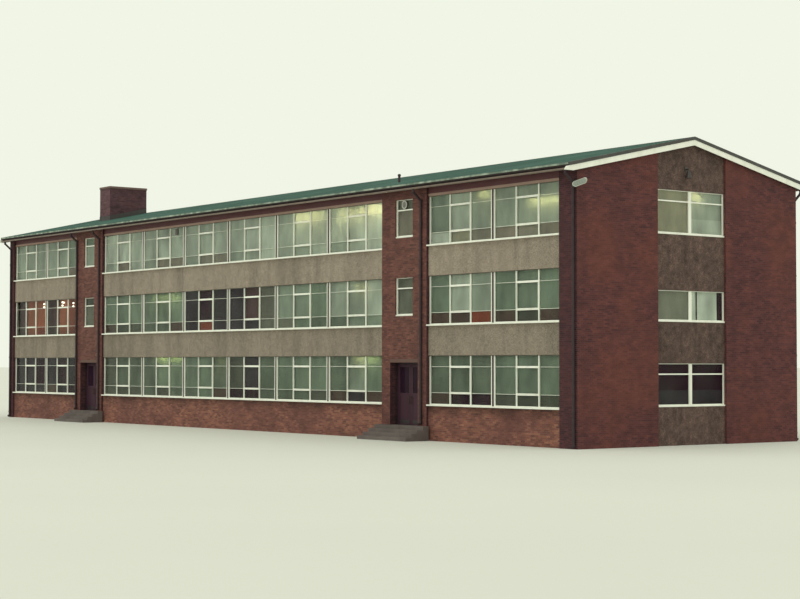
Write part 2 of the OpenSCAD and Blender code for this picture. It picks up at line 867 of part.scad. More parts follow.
// A floodlight on the right-hand corner, and a shaded lamp over the gable's top window
module wall_lamps() {
    plate_w = 60;
    plate_t = 12;
    bar_w = 24;
    shade_h = 130;
    shade_reach = 80;
    color(concrete) {
        translate([x_right, y_front + 75, 4990]) {
            box([0, -plate_w / 2, -plate_w / 2], [plate_t, plate_w, plate_w]);
            rotate([0, 0, -45]) {
                box([bar_w, -bar_w / 2, -bar_w / 2], [lamp_arm - bar_w + 12, bar_w, bar_w]);
                translate([lamp_arm, 0, 0]) rotate([lamp_lean, lamp_tilt, 0]) floodlight();
            }
        }
        translate([x_right - panel_set_back, y_ridge - 130, 5240]) {
            box([0, -plate_w / 2, shade_h], [plate_t, plate_w, 100]);
            box([0, -bar_w / 2, shade_h + 30], [shade_reach + bar_w / 2, bar_w, bar_w]);
            translate([shade_reach, 0, 0]) {
                cylinder(r1 = 68, r2 = 28, h = shade_h);
                cylinder(r = 18, h = shade_h + 40);
            }
        }
    }
}

// A round fan in the top stair window and a square vent in a classroom pane
module window_ventilators() {
    fan_r = 88;
    fan_proud = 36;
    vent_w = 130;
    vent_h = 150;
    proud = 18;
    glass_face = y_front + frame_set_back + frame_d;
    stair_glass_face = y_front + stair_set_back + frame_d;
    color(concrete) {
        translate([STAIRS[1] - 20, stair_glass_face, 4938]) rotate([90, 0, 0])
            cylinder(r = fan_r, h = fan_proud);
        box([mid_strip_x + mid_bay_w + 1655, glass_face - proud, 4870], [vent_w, proud, vent_h]);
    }
}

brick_piers();
stair_bay_infill();
dado_walls();
spandrel_panels();
lintels();
frieze_boards();
gable_walls();
gable_panels();
floor_slabs();
top_ceiling();
classroom_window_frames();
stair_window_frames();
gable_window_frames();
bay_posts();
window_sills();
ground_glass();
first_glass();
top_glass();
porch_returns();
door_jambs();
door_heads();
door_hinges();
door_steps();
right_entrance_left_leaf();
right_entrance_left_pane();
right_entrance_right_leaf();
right_entrance_right_pane();
left_entrance_left_leaf();
left_entrance_left_pane();
left_entrance_right_leaf();
left_entrance_right_pane();
front_roof_slope();
rear_roof_slope();
roof_edge_capping();
barge_boards();
eaves_boards();
gutters();
downpipes();
chimney_stack();
chimney_flashing();
roof_vent_pipe();
wall_lamps();
window_ventilators();
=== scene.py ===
"""Looks of the school building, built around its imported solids.

Lengths are metres in the part's own frame: X runs along the front wall to the right, Y goes from the
front wall to the rear wall, and Z is up from the ground. The building is half the real one's size.
"""
import logging
import math
import random
from collections.abc import Callable, Iterator, Sequence
from dataclasses import dataclass, field
from enum import Enum
from functools import cached_property

import bpy
from mathutils import Matrix, Vector


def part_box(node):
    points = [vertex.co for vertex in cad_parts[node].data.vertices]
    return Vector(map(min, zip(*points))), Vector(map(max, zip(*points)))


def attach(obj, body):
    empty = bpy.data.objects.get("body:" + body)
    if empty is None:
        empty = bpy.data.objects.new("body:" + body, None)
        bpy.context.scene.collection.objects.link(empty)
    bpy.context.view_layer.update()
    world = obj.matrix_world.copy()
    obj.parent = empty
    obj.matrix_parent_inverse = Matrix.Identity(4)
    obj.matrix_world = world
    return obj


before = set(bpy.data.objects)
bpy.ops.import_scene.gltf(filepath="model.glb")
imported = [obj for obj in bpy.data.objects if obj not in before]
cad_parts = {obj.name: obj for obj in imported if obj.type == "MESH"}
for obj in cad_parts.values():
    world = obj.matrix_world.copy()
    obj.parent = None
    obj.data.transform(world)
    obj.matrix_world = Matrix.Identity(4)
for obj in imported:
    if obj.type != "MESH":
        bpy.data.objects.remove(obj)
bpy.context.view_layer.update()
log = logging.getLogger("school_building")

Point = tuple[float, float, float]
Colour = tuple[float, float, float]
Span = tuple[float, float]
Socket = bpy.types.NodeSocket
BUILDING = "building"
EVEN: Point = (1.0, 1.0, 1.0)
DOWNWARD: Point = (1.0, 1.0, 0.1)


class Recipe:
    """The nodes of one material, added by short calls that return their sockets."""

    def __init__(self, name: str) -> None:
        """Start a material with a principled surface.

        Args:
            name: The material's name.
        """
        self.material = bpy.data.materials.new(name)
        self.material.use_nodes = True
        self.nodes = self.material.node_tree.nodes
        self.links = self.material.node_tree.links
        self.surface = self.nodes["Principled BSDF"]
        self.place = self.node("ShaderNodeTexCoord").outputs["Object"]

    def node(self, kind: str, inputs: dict | None = None, **settings: object) -> bpy.types.Node:
        """Add one node.

        Args:
            kind: The node's type name.
            inputs: A value or a socket for each input, by name or number.
            settings: The node's own properties.

        Returns:
            The new node.
        """
        made = self.nodes.new(kind)
        for name, value in settings.items():
            setattr(made, name, value)
        for name, value in (inputs or {}).items():
            self.feed(made.inputs[name], value)
        return made

    def feed(self, target: Socket, value: object) -> None:
        """Set an input to a value, or link it to a socket.

        Args:
            target: The input.
            value: A number, a colour or an output socket.
        """
        if isinstance(value, bpy.types.NodeSocket):
            self.links.new(value, target)
        elif isinstance(value, tuple) and target.type == "RGBA":
            target.default_value = (*value, 1.0)
        else:
            target.default_value = value

    def stretched(self, stretch: Point) -> Socket:
        """Return the object's coordinates multiplied by three factors."""
        return self.node("ShaderNodeVectorMath", {0: self.place, 1: stretch}, operation="MULTIPLY").outputs[0]

    def noise(self, size: float, detail: float = 3.0, stretch: Point = EVEN) -> Socket:
        """Return cloudy noise with patches of a size in metres; a stretch below 1 draws them out that way."""
        inputs = {"Vector": self.stretched(stretch), "Scale": 1.0 / size, "Detail": detail}
        return self.node("ShaderNodeTexNoise", inputs).outputs[0]

    def clouds(self, to: Span, size: float, detail: float = 3.0, stretch: Point = EVEN,
               between: Span = (0.3, 0.7)) -> Socket:
        """Return noise between two of its values mapped onto two results."""
        return self.spread(self.noise(size, detail, stretch), *between, to)

    def cells(self, size: float) -> tuple[Socket, Socket]:
        """Add packed cells.

        Args:
            size: Their width in metres.

        Returns:
            The distance from the nearest cell's middle, and a random value for each cell.
        """
        made = self.node("ShaderNodeTexVoronoi", {"Vector": self.place, "Scale": 1.0 / size})
        tone = self.node("ShaderNodeSeparateColor", {0: made.outputs["Color"]}).outputs[0]
        return made.outputs["Distance"], tone

    def calc(self, operation: str, first: object, second: object = 0.0) -> Socket:
        """Return the result of a math operation on two values."""
        return self.node("ShaderNodeMath", {0: first, 1: second}, operation=operation).outputs[0]

    def spread(self, value: Socket, low: float, high: float, to: Span = (0.0, 1.0)) -> Socket:
        """Return a value mapped from between two limits onto two results, and clamped."""
        names = ("Value", "From Min", "From Max", "To Min", "To Max")
        return self.node("ShaderNodeMapRange", dict(zip(names, (value, low, high, *to)))).outputs[0]

    def blend(self, factor: object, first: object, second: object, mode: str = "MIX") -> Socket:
        """Blend two colours.

        Args:
            factor: Share of the second colour.
            first: The first colour.
            second: The second colour.
            mode: How they are blended.

        Returns:
            The colour.
        """
        made = self.node("ShaderNodeMix", data_type="RGBA", blend_type=mode)
        for number, value in ((0, factor), (6, first), (7, second)):
            self.feed(made.inputs[number], value)
        return made.outputs[2]

    def times(self, colour: object, shade: object) -> Socket:
        """Return a colour multiplied by a shade."""
        return self.blend(1.0, colour, shade, "MULTIPLY")

    def ramp(self, value: Socket, *stops: tuple[float, Colour]) -> Socket:
        """Turn a value into a colour.

        Args:
            value: The value.
            stops: Positions and their colours, in order.

        Returns:
            The colour.
        """
        made = self.node("ShaderNodeValToRGB", {0: value})
        steps = made.color_ramp.elements
        while len(steps) < len(stops):
            steps.new(0.5)
        for step, (position, colour) in zip(steps, stops):
            step.position = position
            step.color = (*colour, 1.0)
        return made.outputs[0]

    def bump(self, height: Socket, distance: float, under: Socket | None = None) -> Socket:
        """Add a bump.

        Args:
            height: Its height, from 0 to 1.
            distance: The depth of a height of 1.
            under: The normal that it adds to.

        Returns:
            The surface's normal.
        """
        inputs = {"Height": height, "Distance": distance, "Strength": 1.0}
        if under:
            inputs["Normal"] = under
        return self.node("ShaderNodeBump", inputs).outputs[0]

    def axis(self, number: int) -> Socket:
        """Return one of the object's coordinates, 0 for X, 1 for Y and 2 for Z."""
        return self.node("ShaderNodeSeparateXYZ", {0: self.place}).outputs[number]

    def facing(self, number: int) -> Socket:
        """Return one coordinate of the surface's true normal."""
        normal = self.node("ShaderNodeNewGeometry").outputs["True Normal"]
        return self.node("ShaderNodeSeparateXYZ", {0: normal}).outputs[number]

    def tone(self) -> Socket:
        """Return the value that the piece's mesh holds for each face."""
        return self.node("ShaderNodeAttribute", attribute_name="tone").outputs["Fac"]

    def dress(self, colour: Socket, rough: object, normal: Socket | None = None) -> bpy.types.Material:
        """Set the surface.

        Args:
            colour: Its colour.
            rough: Its roughness.
            normal: Its normal.

        Returns:
            The finished material.
        """
        self.feed(self.surface.inputs["Base Color"], colour)
        self.feed(self.surface.inputs["Roughness"], rough)
        if normal:
            self.feed(self.surface.inputs["Normal"], normal)
        return self.material


@dataclass(frozen=True)
class BrickBond:
    """Sizes of the stretcher bond, one brick and its mortar joint."""

    length: float = 0.1125
    course: float = 0.0375
    joint: float = 0.005


BOND = BrickBond()


@dataclass(frozen=True)
class BrickFinish:
    """Fired brick, each one with its own tone, under damp streaks, with painted shade from a set height up
    and painted light on the faces that look along Y.
    """

    name: str
    dark: Colour = (0.06, 0.029, 0.032)
    usual: Colour = (0.125, 0.05, 0.041)
    pale: Colour = (0.185, 0.082, 0.058)
    mortar: Colour = (0.15, 0.09, 0.078)
    patch: Colour = (0.1, 0.033, 0.033)
    patch_share: float = 0.35
    # Painted light: brightness factor for the faces that look along Y
    front_wash: float = 1.0
    # Height from which the bricks get painted shade; 99 leaves none
    soot_from: float = 99.0
    cap_from: float = 99.0
    cap: Colour = (0.21, 0.135, 0.12)

    def weathered(self, recipe: Recipe, colour: Socket) -> Socket:
        """Weather a brick colour.

        Args:
            recipe: The material's nodes.
            colour: The clean bricks' colour.

        Returns:
            The colour with broad patches, run-down streaks, painted light on the faces along Y, painted shade
            from a set height up and the chimney's cap.
        """
        broad = recipe.clouds((0.0, self.patch_share), 1.3, 4.0, between=(0.42, 0.68))
        streaks = recipe.clouds((0.0, 0.4), 0.5, 3.0, (1.0, 1.0, 0.12), between=(0.5, 0.8))
        colour = recipe.blend(broad, colour, self.patch)
        colour = recipe.blend(streaks, colour, self.dark)
        speckle = recipe.clouds((0.72, 1.22), 0.012, 2.0, between=(0.3, 0.75))
        colour = recipe.times(colour, speckle)
        mottle = recipe.clouds((0.82, 1.2), 0.3, 4.0, (1.0, 1.0, 2.0))
        colour = recipe.times(colour, mottle)
        # Painted light: faces that look along Y are multiplied by a brightness factor
        flat_on = recipe.calc("ABSOLUTE", recipe.facing(1))
        painted_light_on_front = recipe.spread(flat_on, 0.5, 0.51, (1.0, self.front_wash))
        colour = recipe.times(colour, painted_light_on_front)
        # Painted shade: the bricks darken from a set height up, just under the window sills
        level = recipe.calc("ADD", recipe.axis(2), recipe.clouds((-0.1, 0.1), 0.5, 4.0))
        soot = recipe.spread(level, self.soot_from, self.soot_from + 0.2, (1.0, 0.6))
        colour = recipe.times(colour, soot)
        capped = recipe.spread(recipe.axis(2), self.cap_from - 0.002, self.cap_from)
        return recipe.blend(capped, colour, self.cap)

    def faces(self) -> bpy.types.Material:
        """Make the material of the separate bricks.

        Returns:
            The material, which takes each brick's tone from its mesh.
        """
        recipe = Recipe(self.name + "_faces")
        colour = recipe.ramp(recipe.tone(), (0.0, self.dark), (0.5, self.usual), (1.0, self.pale))
        normal = recipe.bump(recipe.noise(0.006, 4.0), 0.0012)
        return recipe.dress(self.weathered(recipe, colour), 0.88, normal)

    def wall(self) -> bpy.types.Material:
        """Make the material of the walls behind the bricks.

        Returns:
            The material: mortar, and the same bond drawn on the returns.
        """
        recipe = Recipe(self.name + "_wall")
        on_gable = recipe.spread(recipe.calc("ABSOLUTE", recipe.facing(0)), 0.5, 0.51)
        along = recipe.node("ShaderNodeMix", {0: on_gable, 2: recipe.axis(0), 3: recipe.axis(1)}).outputs[0]
        where = recipe.node("ShaderNodeCombineXYZ", {0: along, 1: recipe.axis(2), 2: 0.0}).outputs[0]
        sizes = {"Scale": 1.0, "Mortar Size": BOND.joint / 2, "Brick Width": BOND.length,
                 "Row Height": BOND.course}
        bricks = {"Color1": self.dark, "Color2": self.pale, "Mortar": self.mortar, "Vector": where}
        drawn = recipe.node("ShaderNodeTexBrick", {**bricks, **sizes})
        normal = recipe.bump(recipe.calc("SUBTRACT", 1.0, drawn.outputs[1]), 0.003)
        normal = recipe.bump(recipe.noise(0.006, 4.0), 0.001, normal)
        return recipe.dress(self.weathered(recipe, drawn.outputs[0]), 0.9, normal)


@dataclass(frozen=True)
class PebbleFinish:
    """Concrete faced with pebbles, with stains that run down it."""

    name: str
    ground: Colour
    dark: Colour
    pale: Colour
    pebble: float = 0.011
    clump: float = 0.1
    low_share: float = 1.0

    def material(self) -> bpy.types.Material:
        """Make the material.

        Returns:
            The material: pebbles of many tones in a matrix, washed by rain.
        """
        recipe = Recipe(self.name)
        near, tone = recipe.cells(self.pebble)
        colour = recipe.ramp(tone, (0.0, self.dark), (0.55, self.ground), (1.0, self.pale))
        # Painted shade: each pebble darkens towards its edge, where it meets the next
        gap = recipe.spread(near, 0.4, 0.8, (1.0, 0.82))
        colour = recipe.times(colour, gap)
        clumps = recipe.clouds((1.0 - self.clump, 1.0 + self.clump), 0.12, 4.0)
        colour = recipe.times(colour, clumps)
        level = recipe.spread(recipe.axis(2), 2.4, 3.2, (self.low_share, 1.0))
        colour = recipe.times(colour, level)
        washed = recipe.clouds((1.1, 0.78), 0.3, 4.0, DOWNWARD, between=(0.4, 0.75))
        colour = recipe.times(colour, washed)
        broad = recipe.clouds((0.9, 1.1), 2.2, 2.0)
        colour = recipe.times(colour, broad)
        return recipe.dress(colour, 0.92, recipe.bump(recipe.calc("SUBTRACT", 1.0, near), 0.0008))


@dataclass(frozen=True)
class PaintFinish:
    """Paint on metal or boards, with run-down dirt and worn specks, and a fine orange-peel surface."""

    name: str
    colour: Colour
    dirt: Colour
    rough: float = 0.45
    dirt_share: float = 0.45
    grain: Point = EVEN

    def material(self) -> bpy.types.Material:
        """Make the material.

        Returns:
            The material: even paint, broken by run-down dirt and small worn specks.
        """
        recipe = Recipe(self.name)
        streaks = recipe.clouds((0.0, self.dirt_share), 0.16, 5.0, (1.0, 1.0, 0.25), between=(0.42, 0.78))
        specks = recipe.clouds((0.0, 0.5), 0.02, 3.0, self.grain, between=(0.62, 0.78))
        colour = recipe.blend(streaks, self.colour, self.dirt)
        colour = recipe.blend(specks, colour, self.dirt)
        rough = recipe.clouds((self.rough - 0.1, self.rough + 0.15), 0.08, 3.0, self.grain)
        return recipe.dress(colour, rough, recipe.bump(recipe.noise(0.01, 3.0, self.grain), 0.0006))


@dataclass(frozen=True)
class FrameFinish:
    """The window frames' gloss paint, white with run-down dirt, and painted shade on the heads under the
    lintels.
    """

    name: str = "frame_paint"
    colour: Colour = (0.93, 0.94, 0.85)
    dirt: Colour = (0.5, 0.47, 0.38)
    # Colour of the painted shade on the frames' heads under the lintels
    soot: Colour = (0.13, 0.115, 0.09)
    floor_h: float = 0.3
    storey_h: float = 1.65
    head: float = 1.4475

    def material(self) -> bpy.types.Material:
        """Make the material.

        Returns:
            The material: white paint with run-down dirt, and painted shade from the head's height up.
        """
        recipe = Recipe(self.name)
        streaks = recipe.clouds((0.0, 0.3), 0.16, 5.0, (1.0, 1.0, 0.25), between=(0.42, 0.78))
        colour = recipe.blend(streaks, self.colour, self.dirt)
        level = recipe.calc("SUBTRACT", recipe.axis(2), self.floor_h)
        above_floor = recipe.calc("MODULO", level, self.storey_h)
        # Painted shade: from the head's height up, the frame takes the dark shade colour
        high = recipe.spread(above_floor, self.head - 0.0005, self.head + 0.0005)
        colour = recipe.blend(high, colour, self.soot)
        return recipe.dress(colour, 0.45, recipe.bump(recipe.noise(0.01, 3.0), 0.0006))


@dataclass(frozen=True)
class LeafFinish:
    """A door leaf: dark gloss paint, made darker still as painted shade of the deep doorway, and worn brass
    where its pull and hinges stand proud of it.
    """

    name: str = "door_leaf"
    # Dark paint, made darker still as painted shade of the deep doorway
    colour: Colour = (0.07, 0.031, 0.047)
    dirt: Colour = (0.034, 0.015, 0.025)
    brass: Colour = (0.12, 0.08, 0.05)

    def material(self, y_face: float) -> bpy.types.Material:
        """Make the material.

        Args:
            y_face: Where the leaf's outer face is.

        Returns:
            The material.
        """
        recipe = Recipe(self.name)
        streaks = recipe.clouds((0.0, 0.5), 0.16, 5.0, DOWNWARD, between=(0.42, 0.78))
        colour = recipe.blend(streaks, self.colour, self.dirt)
        proud = recipe.spread(recipe.axis(1), y_face - 0.001, y_face - 0.0015)
        worn = recipe.clouds((0.7, 1.1), 0.03, 3.0)
        colour = recipe.blend(proud, colour, recipe.times(self.brass, worn))
        recipe.feed(recipe.surface.inputs["Metallic"], proud)
        recipe.surface.inputs["Specular IOR Level"].default_value = 0.15
        return recipe.dress(colour, 0.55, recipe.bump(recipe.noise(0.01, 3.0, DOWNWARD), 0.0005))


@dataclass(frozen=True)
class SlabFinish:
    """Cast floors: worn brown sheet flooring on top, distemper on the ceilings and plain concrete edges."""

    name: str = "floor_and_ceiling"
    flooring: Colour = (0.085, 0.06, 0.05)
    ceiling: Colour = (0.62, 0.62, 0.54)
    edge: Colour = (0.3, 0.27, 0.23)

    def material(self) -> bpy.types.Material:
        """Make the material.

        Returns:
            The material: flooring, ceiling or edge by the way that a face looks.
        """
        recipe = Recipe(self.name)
        up = recipe.spread(recipe.facing(2), 0.4, 0.6)
        down = recipe.spread(recipe.facing(2), -0.4, -0.6)
        colour = recipe.blend(up, self.edge, self.flooring)
        colour = recipe.blend(down, colour, self.ceiling)
        worn = recipe.clouds((0.85, 1.12), 0.7, 4.0)
        colour = recipe.times(colour, worn)
        rough = recipe.spread(up, 0.0, 1.0, (0.85, 0.4))
        return recipe.dress(colour, rough, recipe.bump(recipe.noise(0.02), 0.0005))


@dataclass(frozen=True)
class ConcreteFinish:
    """Smooth cast concrete, stained by damp."""

    name: str
    colour: Colour
    stain: Colour

    def material(self) -> bpy.types.Material:
        """Make the material.

        Returns:
            The material: fine pores, cloudy stains and darker runs.
        """
        recipe = Recipe(self.name)
        cloud = recipe.clouds((0.0, 0.6), 0.4, 5.0, between=(0.35, 0.7))
        runs = recipe.clouds((0.0, 0.5), 0.15, 3.0, (1.0, 1.0, 0.2), between=(0.5, 0.8))
        colour = recipe.blend(cloud, self.colour, self.stain)
        colour = recipe.blend(runs, colour, self.stain)
        pores = recipe.clouds((0.85, 1.1), 0.008, 3.0)
        colour = recipe.times(colour, pores)
        return recipe.dress(colour, 0.85, recipe.bump(recipe.noise(0.01, 4.0), 0.001))


@dataclass(frozen=True)
class PlasterFinish:
    """Plastered inner walls: pale distemper over a brown gloss dado on each storey."""

    name: str = "inner_plaster"
    wall: Colour = (0.5, 0.52, 0.4)
    dado: Colour = (0.17, 0.11, 0.08)
    floor_h: float = 0.3
    storey_h: float = 1.65
    dado_h: float = 0.47

    def material(self) -> bpy.types.Material:
        """Make the material.

        Returns:
            The material: its colour changes at the dado line of each storey.
        """
        recipe = Recipe(self.name)
        level = recipe.calc("SUBTRACT", recipe.axis(2), self.floor_h)
        above_floor = recipe.calc("MODULO", level, self.storey_h)
        upper = recipe.spread(above_floor, self.dado_h - 0.005, self.dado_h + 0.005)
        colour = recipe.blend(upper, self.dado, self.wall)
        worn = recipe.clouds((0.88, 1.08), 0.4, 4.0)
        colour = recipe.times(colour, worn)
        return recipe.dress(colour, 0.6, recipe.bump(recipe.noise(0.02, 3.0), 0.0006))


@dataclass(frozen=True)
class RoofFinish:
    """Green mineral roofing, washed paler down its slopes, with painted shade on its cut edge and underside.
    """

    name: str = "green_roofing"
    green: Colour = (0.05, 0.113, 0.091)
    faded: Colour = (0.072, 0.143, 0.119)
    dark: Colour = (0.038, 0.087, 0.07)
    # Colour of the painted shade on the cut edge and the underside
    edge: Colour = (0.045, 0.034, 0.034)

    def material(self) -> bpy.types.Material:
        """Make the material.

        Returns:
            The material: clouded felt with its grit and the rain's runs, and painted shade on the faces that
                don't look up.
        """
        recipe = Recipe(self.name)
        cloud = recipe.noise(1.4, 6.0, (0.8, 1.0, 1.0))
        colour = recipe.ramp(cloud, (0.3, self.dark), (0.48, self.green), (0.72, self.faded))
        grit = recipe.clouds((0.8, 1.2), 0.006, 2.0)
        colour = recipe.times(colour, grit)
        runs = recipe.clouds((0.88, 1.14), 0.25, 4.0, (1.0, 0.07, 0.07), between=(0.35, 0.7))
        colour = recipe.times(colour, runs)
        # Painted shade: faces that don't look up take the dark edge colour
        upper = recipe.spread(recipe.facing(2), 0.6, 0.8)
        colour = recipe.blend(upper, self.edge, colour)
        recipe.surface.inputs["Specular IOR Level"].default_value = 0.06
        return recipe.dress(colour, 0.85, recipe.bump(recipe.noise(0.008, 3.0), 0.0015))


@dataclass(frozen=True)
class GlassFinish:
    """Clear window glass with a grey-green cast and a film of dirt, mirrored at a slant."""

    name: str = "window_glass"
    cast: Colour = (0.93, 0.95, 0.93)
    film: Colour = (0.34, 0.38, 0.33)
    film_share: Span = (0.0, 0.03)
    ior: float = 1.14

    def material(self) -> bpy.types.Material:
        """Make the material.

        Returns:
            The material: see-through, with a patchy film under a weak mirror.
        """
        recipe = Recipe(self.name)
        share = recipe.clouds(self.film_share, 0.5, 3.0, (1.0, 1.0, 0.6), between=(0.35, 0.7))
        clear = recipe.node("ShaderNodeBsdfTransparent", {0: self.cast}).outputs[0]
        film = recipe.node("ShaderNodeBsdfDiffuse", {0: self.film}).outputs[0]
        mirror = recipe.node("ShaderNodeBsdfGlossy", {0: (0.95, 0.97, 0.95), 1: 0.04}).outputs[0]
        fresnel = recipe.node("ShaderNodeFresnel", {0: self.ior}).outputs[0]
        outside = recipe.calc("SUBTRACT", 1.0, recipe.node("ShaderNodeNewGeometry").outputs["Backfacing"])
        body = recipe.node("ShaderNodeMixShader", {0: share, 1: clear, 2: film}).outputs[0]
        mirrored = recipe.calc("MULTIPLY", fresnel, outside)
        whole = recipe.node("ShaderNodeMixShader", {0: mirrored, 1: body, 2: mirror}).outputs[0]
        recipe.nodes.remove(recipe.surface)
        recipe.links.new(whole, recipe.nodes["Material Output"].inputs["Surface"])
        return recipe.material


@dataclass(frozen=True)
class LightFinish:
    """A lit diffuser, warm white, in faint cloudy patches."""

    name: str = "lit_diffuser"
    colour: Colour = (1.0, 0.82, 0.42)
    strength: float = 26.0

    def material(self) -> bpy.types.Material:
        """Make the material.

        Returns:
            The material: a pale shell that glows.
        """
        recipe = Recipe(self.name)
        shade = recipe.clouds((0.85, 1.0), 0.1, 2.0)
        colour = recipe.times(self.colour, shade)
        recipe.feed(recipe.surface.inputs["Emission Color"], colour)
        recipe.surface.inputs["Emission Strength"].default_value = self.strength
        return recipe.dress(colour, 0.4)


@dataclass(frozen=True)
class ScreenFinish:
    """Rigid sun screens behind the glass, half see-through, so that the lamps behind them glow; the darkest
    stand in for unlit rooms as painted shade.
    """

    name: str = "sun_screens"
    see_through: float = 0.5
    tones: tuple[tuple[float, Colour], ...] = (
        # The darkest tones make sheets that stand for the shade of unlit rooms: painted shade
        (0.0, (0.06, 0.018, 0.04)), (0.1, (0.09, 0.068, 0.09)), (0.17, (0.185, 0.19, 0.16)),
        (0.4, (0.34, 0.41, 0.33)), (0.6, (0.56, 0.6, 0.54)), (1.0, (0.97, 1.0, 0.94)),
        (1.2, (0.43, 0.375, 0.33)), (1.4, (0.6, 0.19, 0.11)), (1.6, (0.42, 0.105, 0.068)),
        (1.8, (0.177, 0.12, 0.108)), (2.0, (0.19, 0.097, 0.113)), (2.2, (0.31, 0.31, 0.26)),
        (2.4, (0.45, 0.44, 0.38)), (2.6, (0.68, 0.63, 0.5)),
    )

    def material(self) -> bpy.types.Material:
        """Make the material.

        Returns:
            The material: a dusty sheet, from black through green to white, then warm and grey tones.
        """
        recipe = Recipe(self.name)
        last = self.tones[-1][0]
        stops = [(tone / last, colour) for tone, colour in self.tones]
        colour = recipe.ramp(recipe.calc("DIVIDE", recipe.tone(), last), *stops)
        dust = recipe.clouds((1.22, 0.7), 0.45, 4.0, (1.0, 1.0, 0.5), between=(0.3, 0.75))
        colour = recipe.times(colour, dust)
        recipe.surface.inputs["Specular IOR Level"].default_value = 0.08
        recipe.dress(colour, 0.75)
        lit = recipe.node("ShaderNodeBsdfTranslucent", {0: colour}).outputs[0]
        parts = {0: self.see_through, 1: recipe.surface.outputs[0], 2: lit}
        whole = recipe.node("ShaderNodeMixShader", parts).outputs[0]
        recipe.links.new(whole, recipe.nodes["Material Output"].inputs["Surface"])
        return recipe.material


@dataclass(frozen=True)
class SplitFinish:
    """One node's parts at two levels: a finish below a height and another above it."""

    name: str
    below: Colour
    above: Colour
    height: float
    stain: Colour
    rough: float = 0.8

    def material(self) -> bpy.types.Material:
        """Make the material.

        Returns:
            The material: cloudy and stained on both parts.
        """
        recipe = Recipe(self.name)
        high = recipe.spread(recipe.axis(2), self.height - 0.01, self.height + 0.01)
        colour = recipe.blend(high, self.below, self.above)
        cloud = recipe.clouds((0.0, 0.5), 0.3, 5.0, between=(0.35, 0.7))
        colour = recipe.blend(cloud, colour, recipe.times(colour, self.stain))
        pores = recipe.clouds((0.85, 1.1), 0.008, 3.0)
        colour = recipe.times(colour, pores)
        return recipe.dress(colour, self.rough, recipe.bump(recipe.noise(0.01, 4.0), 0.0008))


